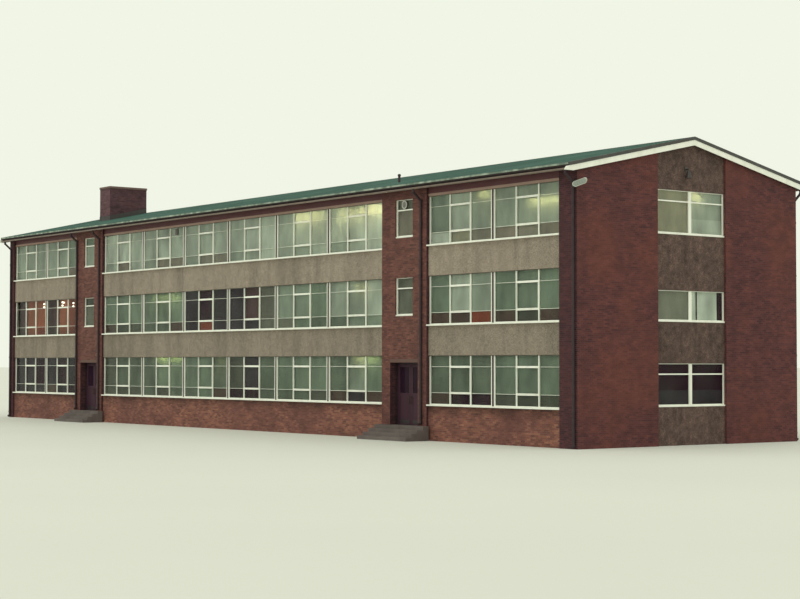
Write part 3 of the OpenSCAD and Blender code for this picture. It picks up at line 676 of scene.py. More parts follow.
@dataclass(frozen=True)
class Finishes:
    """Every material of the building, made once."""

    plan: "Plan"
    made: dict[str, bpy.types.Material] = field(default_factory=dict)

    def __post_init__(self) -> None:
        """Make the materials under the names that the pieces ask for."""
        bricks = (
            BrickFinish("red_brick", (0.032, 0.0095, 0.018), (0.066, 0.0175, 0.0235), (0.098, 0.029, 0.033),
                        (0.085, 0.044, 0.049)),
            # The porch's bricks are a darker copy of the red bricks: painted shade of the deep doorway
            BrickFinish("porch_brick", (0.02, 0.0075, 0.0115), (0.04, 0.0125, 0.0155), (0.06, 0.021, 0.021),
                        (0.05, 0.029, 0.03), (0.045, 0.016, 0.017)),
            BrickFinish("stair_brick", (0.085, 0.034, 0.031), (0.165, 0.058, 0.047), (0.23, 0.092, 0.066),
                        (0.17, 0.105, 0.085), (0.11, 0.038, 0.036), 0.4),
            BrickFinish("gable_brick", (0.058, 0.018, 0.024), (0.112, 0.03, 0.0305), (0.155, 0.043, 0.039),
                        (0.13, 0.068, 0.062), (0.175, 0.051, 0.037), 0.55),
            # The dado bricks get painted shade from 0.5 m up, under the sills
            BrickFinish("dado_brick", (0.115, 0.045, 0.039), (0.25, 0.092, 0.066), (0.37, 0.165, 0.108),
                        (0.26, 0.165, 0.125), (0.13, 0.046, 0.043), 0.75, soot_from=0.5),
            # The chimney's faces along Y are made half as bright again by painted light
            BrickFinish("chimney_brick", (0.055, 0.029, 0.037), (0.105, 0.048, 0.062), (0.147, 0.069, 0.08),
                        front_wash=1.5, cap_from=6.732),
        )
        for finish in bricks:
            self.made[finish.name] = finish.faces()
            self.made[finish.name + "_wall"] = finish.wall()
        finishes = (
            PebbleFinish("pebble_panels", (0.315, 0.258, 0.202), (0.21, 0.17, 0.138), (0.41, 0.35, 0.285),
                         low_share=0.84),
            PebbleFinish("dark_pebble_panels", (0.108, 0.064, 0.053), (0.065, 0.038, 0.034),
                         (0.165, 0.108, 0.087), clump=0.38),
            PaintFinish("white_paint", (0.93, 0.94, 0.85), (0.5, 0.47, 0.38), 0.45, 0.3),
            FrameFinish(),
            PaintFinish("pipe_paint", (0.028, 0.013, 0.018), (0.05, 0.03, 0.032), 0.6, 0.4),
            PaintFinish("drip_trim", (0.12, 0.17, 0.13), (0.5, 0.56, 0.46), 0.5, 1.0, (0.35, 1.0, 1.0)),
            PaintFinish("lap_felt", (0.036, 0.092, 0.07), (0.08, 0.15, 0.11), 0.85, 0.5, (0.3, 1.0, 1.0)),
            PaintFinish("soot_seal", (0.075, 0.045, 0.04), (0.04, 0.03, 0.028), 0.8, 0.5),
            PaintFinish("lamp_glass", (0.4, 0.44, 0.4), (0.2, 0.22, 0.19), 0.14, 0.5),
            PaintFinish("worn_steel", (0.2, 0.2, 0.19), (0.09, 0.085, 0.08), 0.35, 0.5),
            PaintFinish("kick_plate", (0.032, 0.024, 0.026), (0.018, 0.013, 0.014), 0.5, 0.5),
            PaintFinish("dark_paint", (0.045, 0.024, 0.028), (0.08, 0.052, 0.05), 0.65),
            PaintFinish("vent_enamel", (0.1, 0.085, 0.072), (0.05, 0.042, 0.038), 0.5),
            PaintFinish("frieze_paint", (0.118, 0.036, 0.042), (0.066, 0.026, 0.032), 0.6, 0.5,
                        (0.15, 1.0, 1.0)),
            # The doors' timber: dark paint, made darker still as painted shade of the doorway
            PaintFinish("door_paint", (0.035, 0.0135, 0.028), (0.02, 0.009, 0.016), 0.6, 0.5, DOWNWARD),
            PaintFinish("edge_capping", (0.05, 0.048, 0.045), (0.09, 0.09, 0.08), 0.5),
            PaintFinish("gutter_paint", (0.235, 0.18, 0.15), (0.12, 0.09, 0.08), 0.5, 0.6, (0.2, 1.0, 1.0)),
            PaintFinish("flashing_lead", (0.062, 0.05, 0.05), (0.045, 0.055, 0.048), 0.6, 0.5),
            PaintFinish("lamp_enamel", (0.62, 0.64, 0.56), (0.3, 0.29, 0.24), 0.35),
            SplitFinish("lamp_casings", (0.62, 0.64, 0.56), (0.05, 0.042, 0.04), 5.15, (0.6, 0.6, 0.55), 0.4),
            PaintFinish("worn_brass", (0.3, 0.23, 0.12), (0.1, 0.075, 0.05), 0.3, 0.6),
            SplitFinish("lintel_concrete", (0.14, 0.075, 0.062), (0.4, 0.27, 0.22), 4.0, (0.75, 0.7, 0.7)),
            ConcreteFinish("cap_concrete", (0.24, 0.16, 0.15), (0.15, 0.1, 0.1)),
            PlasterFinish(),
            ConcreteFinish("step_concrete", (0.17, 0.14, 0.13), (0.08, 0.062, 0.06)),
            ConcreteFinish("ceiling_plaster", (0.6, 0.6, 0.52), (0.5, 0.49, 0.42)),
            SlabFinish(),
            GlassFinish(),
            # The door glass is mostly a dark film: painted shade of the dark inside behind the doors
            GlassFinish("door_glass", (0.2, 0.15, 0.18), (0.034, 0.015, 0.029), (0.7, 0.95)),
            LightFinish(),
            LightFinish("lit_globe", (1.0, 0.97, 0.78), 2.2),
            ScreenFinish(),
        )
        for finish in finishes:
            self.made[finish.name] = finish.material()
        self.made["green_roofing"] = RoofFinish().material()
        self.made["door_leaf"] = LeafFinish().material(self.plan.y_front + 0.19)

    def __getitem__(self, name: str) -> bpy.types.Material:
        """Return the material of a name."""
        return self.made[name]


class Shape:
    """Faces gathered for one piece, each with a tone for its finish."""

    def __init__(self) -> None:
        """Start with no faces."""
        self.points: list[Point] = []
        self.faces: list[tuple[int, ...]] = []
        self.tones: list[float] = []

    def add(self, points: Sequence[Sequence[float]], faces: Sequence[Sequence[int]],
            tone: float = 0.5) -> None:
        """Add faces.

        Args:
            points: Their corners.
            faces: Numbers of the corners round each face, seen from outside.
            tone: The tone that they all have.
        """
        first = len(self.points)
        self.points += [tuple(point) for point in points]
        self.faces += [tuple(first + number for number in face) for face in faces]
        self.tones += [tone] * len(faces)

    def block(self, bottom: Sequence[Sequence[float]], top: Sequence[Sequence[float]],
              tone: float = 0.5) -> None:
        """Add a closed solid between two outlines with the same number of corners.

        Args:
            bottom: The lower outline, anticlockwise seen from the upper one.
            top: The upper outline.
            tone: Its tone.
        """
        count = len(bottom)
        sides = [(n, (n + 1) % count, count + (n + 1) % count, count + n) for n in range(count)]
        lids = [tuple(reversed(range(count))), tuple(range(count, 2 * count))]
        self.add([*bottom, *top], [*sides, *lids], tone)

    def box(self, low: Sequence[float], high: Sequence[float], tone: float = 0.5) -> None:
        """Add a box between its low and its high corner."""
        round_z = [(low[0], low[1]), (high[0], low[1]), (high[0], high[1]), (low[0], high[1])]
        self.block([(x, y, low[2]) for x, y in round_z], [(x, y, high[2]) for x, y in round_z], tone)

    def sheet(self, along: Span, up: Span, holes: "Sequence[Opening]",
              place: Callable[[float, float, float], Point], thick: float) -> None:
        """Add a flat board with square holes, as closed parts edge to edge.

        Args:
            along: Its two ends.
            up: Its bottom and top.
            holes: The holes.
            place: Gives the point at a distance along, a height and a depth.
            thick: Its thickness.
        """
        ends = sorted({*along, *(min(max(e, along[0]), along[1]) for h in holes for e in (h.start, h.end))})
        for start, end in zip(ends, ends[1:]):
            here = [h for h in holes if h.start < (start + end) / 2 < h.end]
            low = up[0]
            for bottom, top in [*sorted((h.low, h.high) for h in here), (up[1], up[1])]:
                stop = min(bottom, up[1])
                if stop - low > 0.001:
                    corners = [(start, low), (end, low), (end, stop), (start, stop)]
                    near = [place(along_wall, z, 0.0) for along_wall, z in corners]
                    self.block([place(along_wall, z, thick) for along_wall, z in corners], near)
                low = max(low, top)

    def ring(self, outer: tuple[float, float, float, float], y: Sequence[float], width: float) -> None:
        """Add a square ring of four members round a light or a panel.

        Args:
            outer: Its left, right, low and high edges.
            y: Its front and rear faces.
            width: Width of its members.
        """
        left, right, low, high = outer
        for x0, x1, z0, z1 in ((left, right, low, low + width), (left, right, high - width, high),
                               (left, left + width, low + width, high - width),
                               (right - width, right, low + width, high - width)):
            self.box((x0, y[0], z0), (x1, y[1], z1))

    @staticmethod
    def hoop(low: int, high: int, sides: int) -> list[tuple[int, ...]]:
        """Return the faces between two rings of corners, whose first numbers these are."""
        return [(low + s, low + (s + 1) % sides, high + (s + 1) % sides, high + s) for s in range(sides)]

    def tube(self, path: Sequence[Point], radius: float, sides: int = 6) -> None:
        """Add a closed tube along a straight path.

        Args:
            path: Its middle line.
            radius: Its radius.
            sides: Number of its flat sides.
        """
        points: list[Vector] = []
        steps = [Vector(point) for point in path]
        for number, here in enumerate(steps):
            ahead = steps[min(number + 1, len(steps) - 1)] - steps[max(number - 1, 0)]
            across = Vector((1.0, 0.0, 0.0)) if abs(ahead.normalized().x) < 0.9 else Vector((0.0, 1.0, 0.0))
            first = ahead.cross(across).normalized()
            second = ahead.cross(first).normalized()
            for side in range(sides):
                turn = 2 * math.pi * side / sides
                points.append(here + radius * (math.cos(turn) * first + math.sin(turn) * second))
        rows = len(steps)
        faces: list[tuple[int, ...]] = []
        for row in range(rows - 1):
            faces += self.hoop(row * sides, (row + 1) * sides, sides)
        faces.append(tuple(reversed(range(sides))))
        faces.append(tuple(range((rows - 1) * sides, rows * sides)))
        self.add(points, faces)

    def ball(self, middle: Point, radius: float, sides: int = 12) -> None:
        """Add a ball.

        Args:
            middle: Its middle.
            radius: Its radius.
            sides: Number of its flat sides round the upright axis.
        """
        rows = sides // 2
        points = [(middle[0], middle[1], middle[2] - radius)]
        for row in range(1, rows):
            lift = -math.cos(math.pi * row / rows)
            wide = radius * math.sin(math.pi * row / rows)
            turns = [2 * math.pi * side / sides for side in range(sides)]
            level = middle[2] + radius * lift
            points += [(middle[0] + wide * math.cos(t), middle[1] + wide * math.sin(t), level) for t in turns]
        points.append((middle[0], middle[1], middle[2] + radius))
        last = len(points) - 1
        faces = [(0, 1 + (side + 1) % sides, 1 + side) for side in range(sides)]
        for row in range(rows - 2):
            faces += self.hoop(1 + row * sides, 1 + (row + 1) * sides, sides)
        top = 1 + (rows - 2) * sides
        faces += [(last, top + side, top + (side + 1) % sides) for side in range(sides)]
        self.add(points, faces)

    def band(self, radii: Span, turns: Span, steps: int, place: Callable[[float, float, int], Point]) -> None:
        """Add a strap bent round an axis.

        Args:
            radii: Its inner and outer radius.
            turns: The angles in degrees between which it lies.
            steps: Number of its flat parts.
            place: Gives the point at both distances from the axis, at edge 0 or 1 of the strap.
        """
        start, stop = turns
        for step in range(steps):
            angles = [math.radians(start + (stop - start) * (step + more) / steps) for more in (0, 1)]
            (inner, outer), (first, second) = radii, angles
            corners = ((inner, first), (outer, first), (outer, second), (inner, second))
            ring = [(radius * math.cos(angle), radius * math.sin(angle)) for radius, angle in corners]
            self.block([place(a, b, 0) for a, b in ring], [place(a, b, 1) for a, b in ring])

    def repeat(self, mirror: Callable[[Point], Point]) -> None:
        """Add every face once more, mirrored.

        Args:
            mirror: Gives a corner's mirror image.
        """
        first = len(self.points)
        self.points += [mirror(point) for point in self.points]
        self.faces += [tuple(first + number for number in face)[::-1] for face in self.faces]
        self.tones += self.tones

    def piece(self, name: str, material: bpy.types.Material, slot: str, body: str = BUILDING,
              soften: float = 0.0) -> bpy.types.Object:
        """Make the piece.

        Args:
            name: Its name.
            material: Its finish.
            slot: The record's material slot.
            body: The body that it rides on.
            soften: Width of a bevel on its edges.

        Returns:
            The object.
        """
        mesh = bpy.data.meshes.new(name)
        mesh.from_pydata(self.points, [], self.faces)
        mesh.attributes.new("tone", "FLOAT", "FACE").data.foreach_set("value", self.tones)
        mesh.materials.append(material)
        made = bpy.data.objects.new(name, mesh)
        bpy.context.scene.collection.objects.link(made)
        if soften:
            bevel = made.modifiers.new("soft_edges", "BEVEL")
            bevel.width = soften
            bevel.segments = 2
            bevel.limit_method = "ANGLE"
        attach(made, body)
        log.info("%s: %d faces", name, len(self.faces))
        return made


@dataclass(frozen=True)
class Strip:
    """A run of classroom windows along a wall."""

    left: float
    bay_w: float
    bays: int

    @property
    def right(self) -> float:
        """Its right edge."""
        return self.left + self.bay_w * self.bays


@dataclass(frozen=True)
class Plan:
    """The building's main lines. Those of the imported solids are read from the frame."""

    left_pier_w: float = 0.28
    end_bay_w: float = 2.035
    mid_bay_w: float = 2.135
    stair_bay_w: float = 1.55
    floor_h: float = 0.3
    storey_h: float = 1.65
    sill_h: float = 0.45
    window_h: float = 1.01
    sill_t: float = 0.028
    slab_t: float = 0.125
    wall_t: float = 0.14
    panel_back: float = 0.05
    frame_back: float = 0.08
    frame_d: float = 0.026
    frame_w: float = 0.026
    post_w: float = 0.06
    transom_h: float = 0.038
    transoms: Span = (0.225, 0.76)
    stair_window: Span = (0.61, 0.775)
    stair_back: float = 0.035
    stair_sill_h: float = 0.67
    door_w: float = 0.96
    door_top: float = 1.615
    door_lintel_h: float = 0.075
    steps_w: float = 1.7
    gable_sills: tuple[float, float, float] = (0.483, 0.49, 0.55)
    gable_heights: tuple[float, float, float] = (0.815, 0.585, 0.84)
    gable_frame_back: float = 0.065
    eaves_reach: float = 0.265
    verge_reach: float = 0.075
    gutter: tuple[float, float, float] = (0.229, 5.236, 0.034)
    roof_rise: float = 0.22
    ridge_z: float = 6.062
    roof_t: float = 0.06

    @cached_property
    def walls(self) -> tuple[Vector, Vector]:
        """The low and the high corner of the walls."""
        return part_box("gable_walls")

    @cached_property
    def x_left(self) -> float:
        """Outer face of the left gable."""
        return self.walls[0].x

    @cached_property
    def x_right(self) -> float:
        """Outer face of the right gable."""
        return self.walls[1].x

    @cached_property
    def y_front(self) -> float:
        """Outer face of the front piers."""
        return self.walls[0].y

    @cached_property
    def y_rear(self) -> float:
        """Outer face of the rear piers."""
        return self.walls[1].y

    @cached_property
    def y_ridge(self) -> float:
        """The line of the ridge, which is the building's mirror line."""
        return (self.y_front + self.y_rear) / 2

    @cached_property
    def wall_top(self) -> float:
        """Top of the front and rear walls."""
        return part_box("brick_piers")[1].z

    @cached_property
    def column(self) -> Span:
        """Y of both sides of the recessed column in the gables."""
        low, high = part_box("gable_panels")
        return low.y, high.y

    @cached_property
    def strips(self) -> tuple[Strip, Strip, Strip]:
        """Find the three runs of classroom windows.

        Returns:
            The runs, from the left.
        """
        left = Strip(self.x_left + self.left_pier_w, self.end_bay_w, 2)
        middle = Strip(left.right + self.stair_bay_w, self.mid_bay_w, 6)
        return left, middle, Strip(middle.right + self.stair_bay_w, self.end_bay_w, 2)

    @cached_property
    def stairs(self) -> Span:
        """X of the middle of both stair bays."""
        left, middle, _ = self.strips
        return left.right + self.stair_bay_w / 2, middle.right + self.stair_bay_w / 2

    def sill(self, storey: int) -> float:
        """Return the height of a storey's window sills."""
        return self.floor_h + storey * self.storey_h + self.sill_h

    def stair_sill(self, storey: int) -> float:
        """Return the height of a storey's stair window sill."""
        return self.floor_h + storey * self.storey_h + self.stair_sill_h

    def gable_sill(self, storey: int) -> float:
        """Return the height of a storey's gable window sill."""
        return self.floor_h + storey * self.storey_h + self.gable_sills[storey]

    def ceiling(self, storey: int) -> float:
        """Return the height of a storey's ceiling."""
        slab_foot = self.floor_h + (storey + 1) * self.storey_h - self.slab_t
        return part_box("top_ceiling")[0].z if storey == 2 else slab_foot

    def roof_top(self, y: float) -> float:
        """Return the height of the roof's upper face."""
        return self.ridge_z - self.roof_rise * abs(y - self.y_ridge)

    def to_rear(self, point: Point) -> Point:
        """Return a front point's mirror image at the rear."""
        return point[0], 2 * self.y_ridge - point[1], point[2]

    def to_left(self, point: Point) -> Point:
        """Return a point of the right gable mirrored to the left one."""
        return self.x_left + self.x_right - point[0], point[1], point[2]


@dataclass(frozen=True)
class Opening:
    """A hole in brickwork, from one place to another along the wall and in height."""

    start: float
    end: float
    low: float
    high: float


@dataclass(frozen=True)
class WallFace:
    """A flat face of brickwork. Its points are given by their place along the wall and their height."""

    start: float
    end: float
    place: Callable[[float, float, float], Point]
    low: Callable[[float], float]
    high: Callable[[float], float]
    openings: tuple[Opening, ...] = ()
    flipped: bool = False


@dataclass
class Brickwork:
    """Separate bricks, laid in stretcher bond a little proud of the mortar on every outer wall."""

    plan: Plan
    finishes: Finishes
    proud: float = 0.0025
    arris: float = 0.0012
    seed: int = 1961
    bunching: float = 2.2
    oversail: float = 0.014
    cap_h: float = 0.06

    def spans(self, face: WallFace, low: float, high: float) -> Iterator[Span]:
        """Give the stretches of a course that no opening breaks.

        Args:
            face: The wall.
            low: Bottom of the course.
            high: Top of the course.

        Yields:
            The start and the end of each stretch.
        """
        cuts = sorted((o.start, o.end) for o in face.openings if o.low < high and o.high > low)
        start = face.start
        for cut_start, cut_end in cuts:
            if cut_start >= face.end or cut_end <= face.start:
                continue
            if cut_start > start:
                yield start, cut_start
            start = max(start, cut_end)
        if face.end > start:
            yield start, face.end

    def lay(self, shape: Shape, face: WallFace, chance: random.Random) -> None:
        """Lay one face's bricks.

        Args:
            shape: Where the bricks go.
            face: The wall.
            chance: Gives the bricks' tones.
        """
        half = BOND.joint / 2
        lowest = min(face.low(face.start), face.low(face.end))
        highest = max(face.high(face.start), face.high((face.start + face.end) / 2), face.high(face.end))
        for row in range(math.floor(lowest / BOND.course), math.ceil(highest / BOND.course)):
            low = row * BOND.course + half
            high = low + BOND.course - BOND.joint
            shift = BOND.length / 2 if row % 2 else 0.0
            for start, end in self.spans(face, low, high):
                for number in range(math.floor((start - shift) / BOND.length),
                                    math.ceil((end - shift) / BOND.length)):
                    left = max(start, shift + number * BOND.length + half)
                    right = min(end, shift + (number + 1) * BOND.length - half)
                    if right - left > 4 * self.arris:
                        tone = chance.betavariate(self.bunching, self.bunching)
                        self.brick(shape, face, (left, right), (low, high), tone)

    def brick(self, shape: Shape, face: WallFace, along: Span, up: Span, tone: float) -> None:
        """Add one brick, cut to the wall's outline.

        Args:
            shape: Where it goes.
            face: The wall.
            along: Its two ends.
            up: Its bottom and top.
            tone: Its tone.
        """
        corners = [(s, max(up[0], face.low(s))) for s in along]
        corners += [(s, min(up[1], face.high(s))) for s in reversed(along)]
        if min(corners[2][1] - corners[1][1], corners[3][1] - corners[0][1]) < 3 * self.arris:
            return
        ease = self.arris
        inward = ((1, 1), (-1, 1), (-1, -1), (1, -1))
        inner = [(s + e * ease, z + f * ease) for (s, z), (e, f) in zip(corners, inward)]
        points = [face.place(s, z, 0.0) for s, z in corners]
        points += [face.place(s, z, self.proud) for s, z in inner]
        sides = [(0, 1, 5, 4), (1, 2, 6, 5), (2, 3, 7, 6), (3, 0, 4, 7), (4, 5, 6, 7)]
        shape.add(points, [f[::-1] for f in sides] if face.flipped else sides, tone)

    def stair_openings(self, rear: bool) -> tuple[Opening, ...]:
        """List the doors, steps and windows that break the stair bays of a wall.

        Args:
            rear: Whether it is the rear wall.

        Returns:
            The openings.
        """
        plan = self.plan
        width, height = plan.stair_window
        holes = []
        for x in plan.stairs:
            for storey in range(0 if rear else 1, 3):
                sill = plan.stair_sill(storey)
                holes.append(Opening(x - width / 2, x + width / 2, sill - plan.sill_t, sill + height))
            if not rear:
                top = plan.door_top + plan.door_lintel_h
                holes.append(Opening(x - plan.door_w / 2, x + plan.door_w / 2, 0.0, top))
                holes.append(Opening(x - plan.steps_w / 2, x + plan.steps_w / 2, 0.0, plan.floor_h))
        return tuple(holes)

    def long_wall(self, rear: bool, stairs: bool) -> Iterator[WallFace]:
        """Give the stair bays or the corner piers of a long wall.

        Args:
            rear: Whether it is the rear wall.
            stairs: Whether the stair bays are wanted.

        Yields:
            Each face.
        """
        plan = self.plan
        left, middle, right = plan.strips
        face_y = plan.y_rear if rear else plan.y_front
        out = 1.0 if rear else -1.0
        corners = ((plan.x_left, left.left), (right.right, plan.x_right))
        for start, end in ((left.right, middle.left), (middle.right, right.left)) if stairs else corners:
            yield WallFace(start, end, lambda s, z, d: (s, face_y + out * d, z), lambda s: 0.0,
                           lambda s: plan.wall_top, self.stair_openings(rear), rear)

    def dado(self, rear: bool) -> Iterator[WallFace]:
        """Give the low walls under the classroom windows.

        Args:
            rear: Whether they are at the rear.

        Yields:
            Each face.
        """
        plan = self.plan
        face_y = plan.y_rear - plan.panel_back if rear else plan.y_front + plan.panel_back
        out = 1.0 if rear else -1.0
        for strip in plan.strips:
            yield WallFace(strip.left, strip.right, lambda s, z, d: (s, face_y + out * d, z), lambda s: 0.0,
                           lambda s: plan.sill(0) - plan.sill_t, (), rear)

    def gable(self, left: bool) -> Iterator[WallFace]:
        """Give both flanks of a gable, up to the underside of the roof.

        Args:
            left: Whether it is the left gable.

        Yields:
            Each face.
        """
        plan = self.plan
        face_x = plan.x_left if left else plan.x_right
        out = -1.0 if left else 1.0
        for start, end in ((plan.y_front, plan.column[0]), (plan.column[1], plan.y_rear)):
            yield WallFace(start, end, lambda s, z, d: (face_x + out * d, s, z), lambda s: 0.0,
                           lambda s: plan.roof_top(s) - plan.roof_t, (), left)

    def chimney(self) -> Iterator[WallFace]:
        """Give the four sides of the stack, over its flashing, and of the courses that oversail it.

        Yields:
            Each face.
        """
        plan = self.plan
        low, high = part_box("chimney_stack")
        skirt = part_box("chimney_flashing")[1].z - plan.ridge_z
        grow = self.oversail
        for near, base, top in ((grow, None, high.z - self.cap_h), (0.0, high.z - self.cap_h, high.z)):
            x0, x1, y0, y1 = low.x + near, high.x - near, low.y + near, high.y - near
            for y, out, flipped in ((y0, -1.0, False), (y1, 1.0, True)):
                foot = plan.roof_top(y) + skirt if base is None else base
                yield WallFace(x0, x1, lambda s, z, d, y=y, o=out: (s, y + o * d, z),
                               lambda s, f=foot: f, lambda s, t=top: t, (), flipped)
            for x, out, flipped in ((x1, 1.0, False), (x0, -1.0, True)):
                foot = (lambda s: plan.roof_top(s) + skirt) if base is None else (lambda s, b=base: b)
                yield WallFace(y0, y1, lambda s, z, d, x=x, o=out: (x + o * d, s, z), foot,
                               lambda s, t=top: t, (), flipped)

    def build(self) -> None:
        """Lay every wall, each as one joined piece."""
        walls = (
            ("front_pier_bricks", self.long_wall(False, False), "red_brick", "brick"),
            ("rear_pier_bricks", self.long_wall(True, False), "red_brick", "brick"),
            ("front_stair_bay_bricks", self.long_wall(False, True), "stair_brick", "brick"),
            ("rear_stair_bay_bricks", self.long_wall(True, True), "stair_brick", "brick"),
            ("front_dado_bricks", self.dado(False), "dado_brick", "dado_brick"),
            ("rear_dado_bricks", self.dado(True), "dado_brick", "dado_brick"),
            ("right_gable_bricks", self.gable(False), "gable_brick", "brick"),
            ("left_gable_bricks", self.gable(True), "gable_brick", "brick"),
            ("chimney_bricks", self.chimney(), "chimney_brick", "brick"),
        )
        for number, (name, faces, finish, slot) in enumerate(walls):
            shape = Shape()
            chance = random.Random(self.seed + number)
            for face in faces:
                self.lay(shape, face, chance)
            shape.piece(name, self.finishes[finish], slot)


class Sheet(Enum):
    """The shade of the screen behind a light."""

    # BLACK and DUSK are painted shade: dark sheets where the rooms behind the glass lie in shade
    BLACK = 0.0
    DUSK = 0.09
    DEEP = 0.17
    LEAF = 0.28
    GREEN = 0.4
    MIST = 0.5
    MILK = 0.6
    CREAM = 0.74
    PEARL = 0.88
    SNOW = 0.98
    TAUPE = 1.2
    AMBER = 1.4
    RUST = 1.6
    BROWN = 1.8
    SLATE = 1.98
    STONE = 2.19
    FLINT = 2.39
    SAND = 2.58


@dataclass(frozen=True)
class Screens:
    """The screens of one bay, light by light: those of the upper two thirds and those of the lowest row."""

    upper: tuple[Sheet, ...]
    low: tuple[Sheet, ...]

    @classmethod
    def named(cls, upper: str, low: str) -> "Screens":
        """Return the screens whose shades have these names; one name alone is for all three lights."""
        rows = [[Sheet[name] for name in text.split()] for text in (upper, low)]
        return cls(*(tuple(row * 3 if len(row) == 1 else row) for row in rows))


# The screens of each storey's bays, from the left
SCREENS = (
    (Screens.named("DUSK DUSK BLACK", "DUSK"), Screens.named("DUSK BLACK DUSK", "BROWN DUSK BLACK"),
     Screens.named("DEEP LEAF LEAF", "DEEP"), Screens.named("LEAF GREEN GREEN", "LEAF DEEP LEAF"),
     Screens.named("GREEN GREEN LEAF", "LEAF GREEN BROWN"),
     Screens.named("DEEP DUSK LEAF", "BLACK BLACK LEAF"),
     Screens.named("GREEN", "LEAF LEAF DEEP"), Screens.named("LEAF MIST GREEN", "BROWN DUSK BROWN"),
     Screens.named("LEAF", "BROWN BLACK BLACK"), Screens.named("GREEN", "DEEP")),
    (Screens.named("SLATE AMBER AMBER", "BROWN AMBER RUST"),
     Screens.named("SLATE AMBER RUST", "BROWN AMBER RUST"),
     Screens.named("GREEN", "BROWN DEEP DEEP"), Screens.named("GREEN", "LEAF LEAF BROWN"),
     Screens.named("DUSK BLACK DUSK", "DUSK RUST DUSK"), Screens.named("DUSK SLATE STONE", "DUSK DUSK STONE"),
     Screens.named("MIST MIST GREEN", "STONE GREEN LEAF"), Screens.named("MILK MILK CREAM", "LEAF MIST MIST"),
     Screens.named("GREEN CREAM MILK", "BROWN BROWN RUST"), Screens.named("GREEN", "BROWN DEEP BROWN")),
    (Screens.named("MILK", "MILK CREAM MILK"), Screens.named("MILK MILK MIST", "MILK MILK TAUPE"),
     Screens.named("PEARL PEARL CREAM", "CREAM TAUPE CREAM"), Screens.named("CREAM", "MILK TAUPE TAUPE"),
     Screens.named("CREAM", "MILK TAUPE TAUPE"), Screens.named("CREAM PEARL PEARL", "MILK CREAM PEARL"),
     Screens.named("CREAM", "CREAM MILK CREAM"), Screens.named("CREAM CREAM PEARL", "MILK CREAM PEARL"),
     Screens.named("MIST CREAM MILK", "SNOW SAND TAUPE"), Screens.named("MILK", "TAUPE")),
)

# The screens of the right gable's windows on each storey: the left and the right light, then their lowest row
GABLE_SCREENS = (
    Screens.named("BLACK BLACK", "DUSK DUSK"), Screens.named("FLINT SNOW", "FLINT SNOW"),
    Screens.named("SAND CREAM", "SAND PEARL"),
)

# The screens of both stair windows on each storey: the lower and the upper light
STAIR_SCREENS = (
    (Screens.named("STONE STONE", "STONE STONE"), Screens.named("STONE STONE", "STONE STONE")),
    (Screens.named("STONE DEEP", "STONE DEEP"), Screens.named("STONE STONE", "STONE STONE")),
    (Screens.named("MILK GREEN", "MILK GREEN"), Screens.named("TAUPE STONE", "TAUPE STONE")),
)


@dataclass(frozen=True)
class StripLamp:
    """A lit lamp by a window: its ends as shares of the bay's width, and its drop from the window's head."""

    storey: int
    bay: int
    ends: Span
    drop: float = 0.05
    away: float = 0.07


LIT_LAMPS = (
    StripLamp(2, 6, (0.36, 0.92), 0.08, 0.15), StripLamp(2, 7, (0.12, 0.5), 0.1, 0.2),
    StripLamp(2, 7, (0.52, 0.93), 0.09, 0.13),
    StripLamp(2, 8, (0.76, 0.98), 0.05, 0.1), StripLamp(2, 9, (0.5, 0.97), 0.31, 0.1),
    StripLamp(1, 3, (0.2, 0.9), 0.1, 0.12), StripLamp(1, 7, (0.46, 0.66), 0.14, 0.12),
    StripLamp(0, 3, (0.3, 0.98), 0.04, 0.07), StripLamp(0, 4, (0.72, 0.98), 0.06, 0.15),
    StripLamp(0, 7, (0.42, 0.9), 0.06, 0.1),
)


# The globes that hang in the rooms of the first floor's left bays: the bay, the share of its width, the drop
GLOBES = ((0, 0.84, 0.1), (0, 0.84, 0.19), (1, 0.4, 0.08), (1, 0.44, 0.09), (1, 0.4, 0.17), (1, 0.74, 0.12),
          (1, 0.74, 0.21))


@dataclass(frozen=True)
class Bay:
    """One window bay of the front wall, by the place of its frame, its storey and its number."""

    left: float
    right: float
    storey: int
    number: int

    @property
    def deep(self) -> bool:
        """Whether its screens stand back, behind globes."""
        return self.storey == 1 and self.number < 2

    def lights(self, frame_w: float) -> list[Span]:
        """Find its three lights.

        Args:
            frame_w: Width of the frame's upright members.

        Returns:
            Each light's left and right edges.
        """
        width = (self.right - self.left - 4 * frame_w) / 3
        starts = [self.left + frame_w + n * (width + frame_w) for n in range(3)]
        return [(start, start + width) for start in starts]


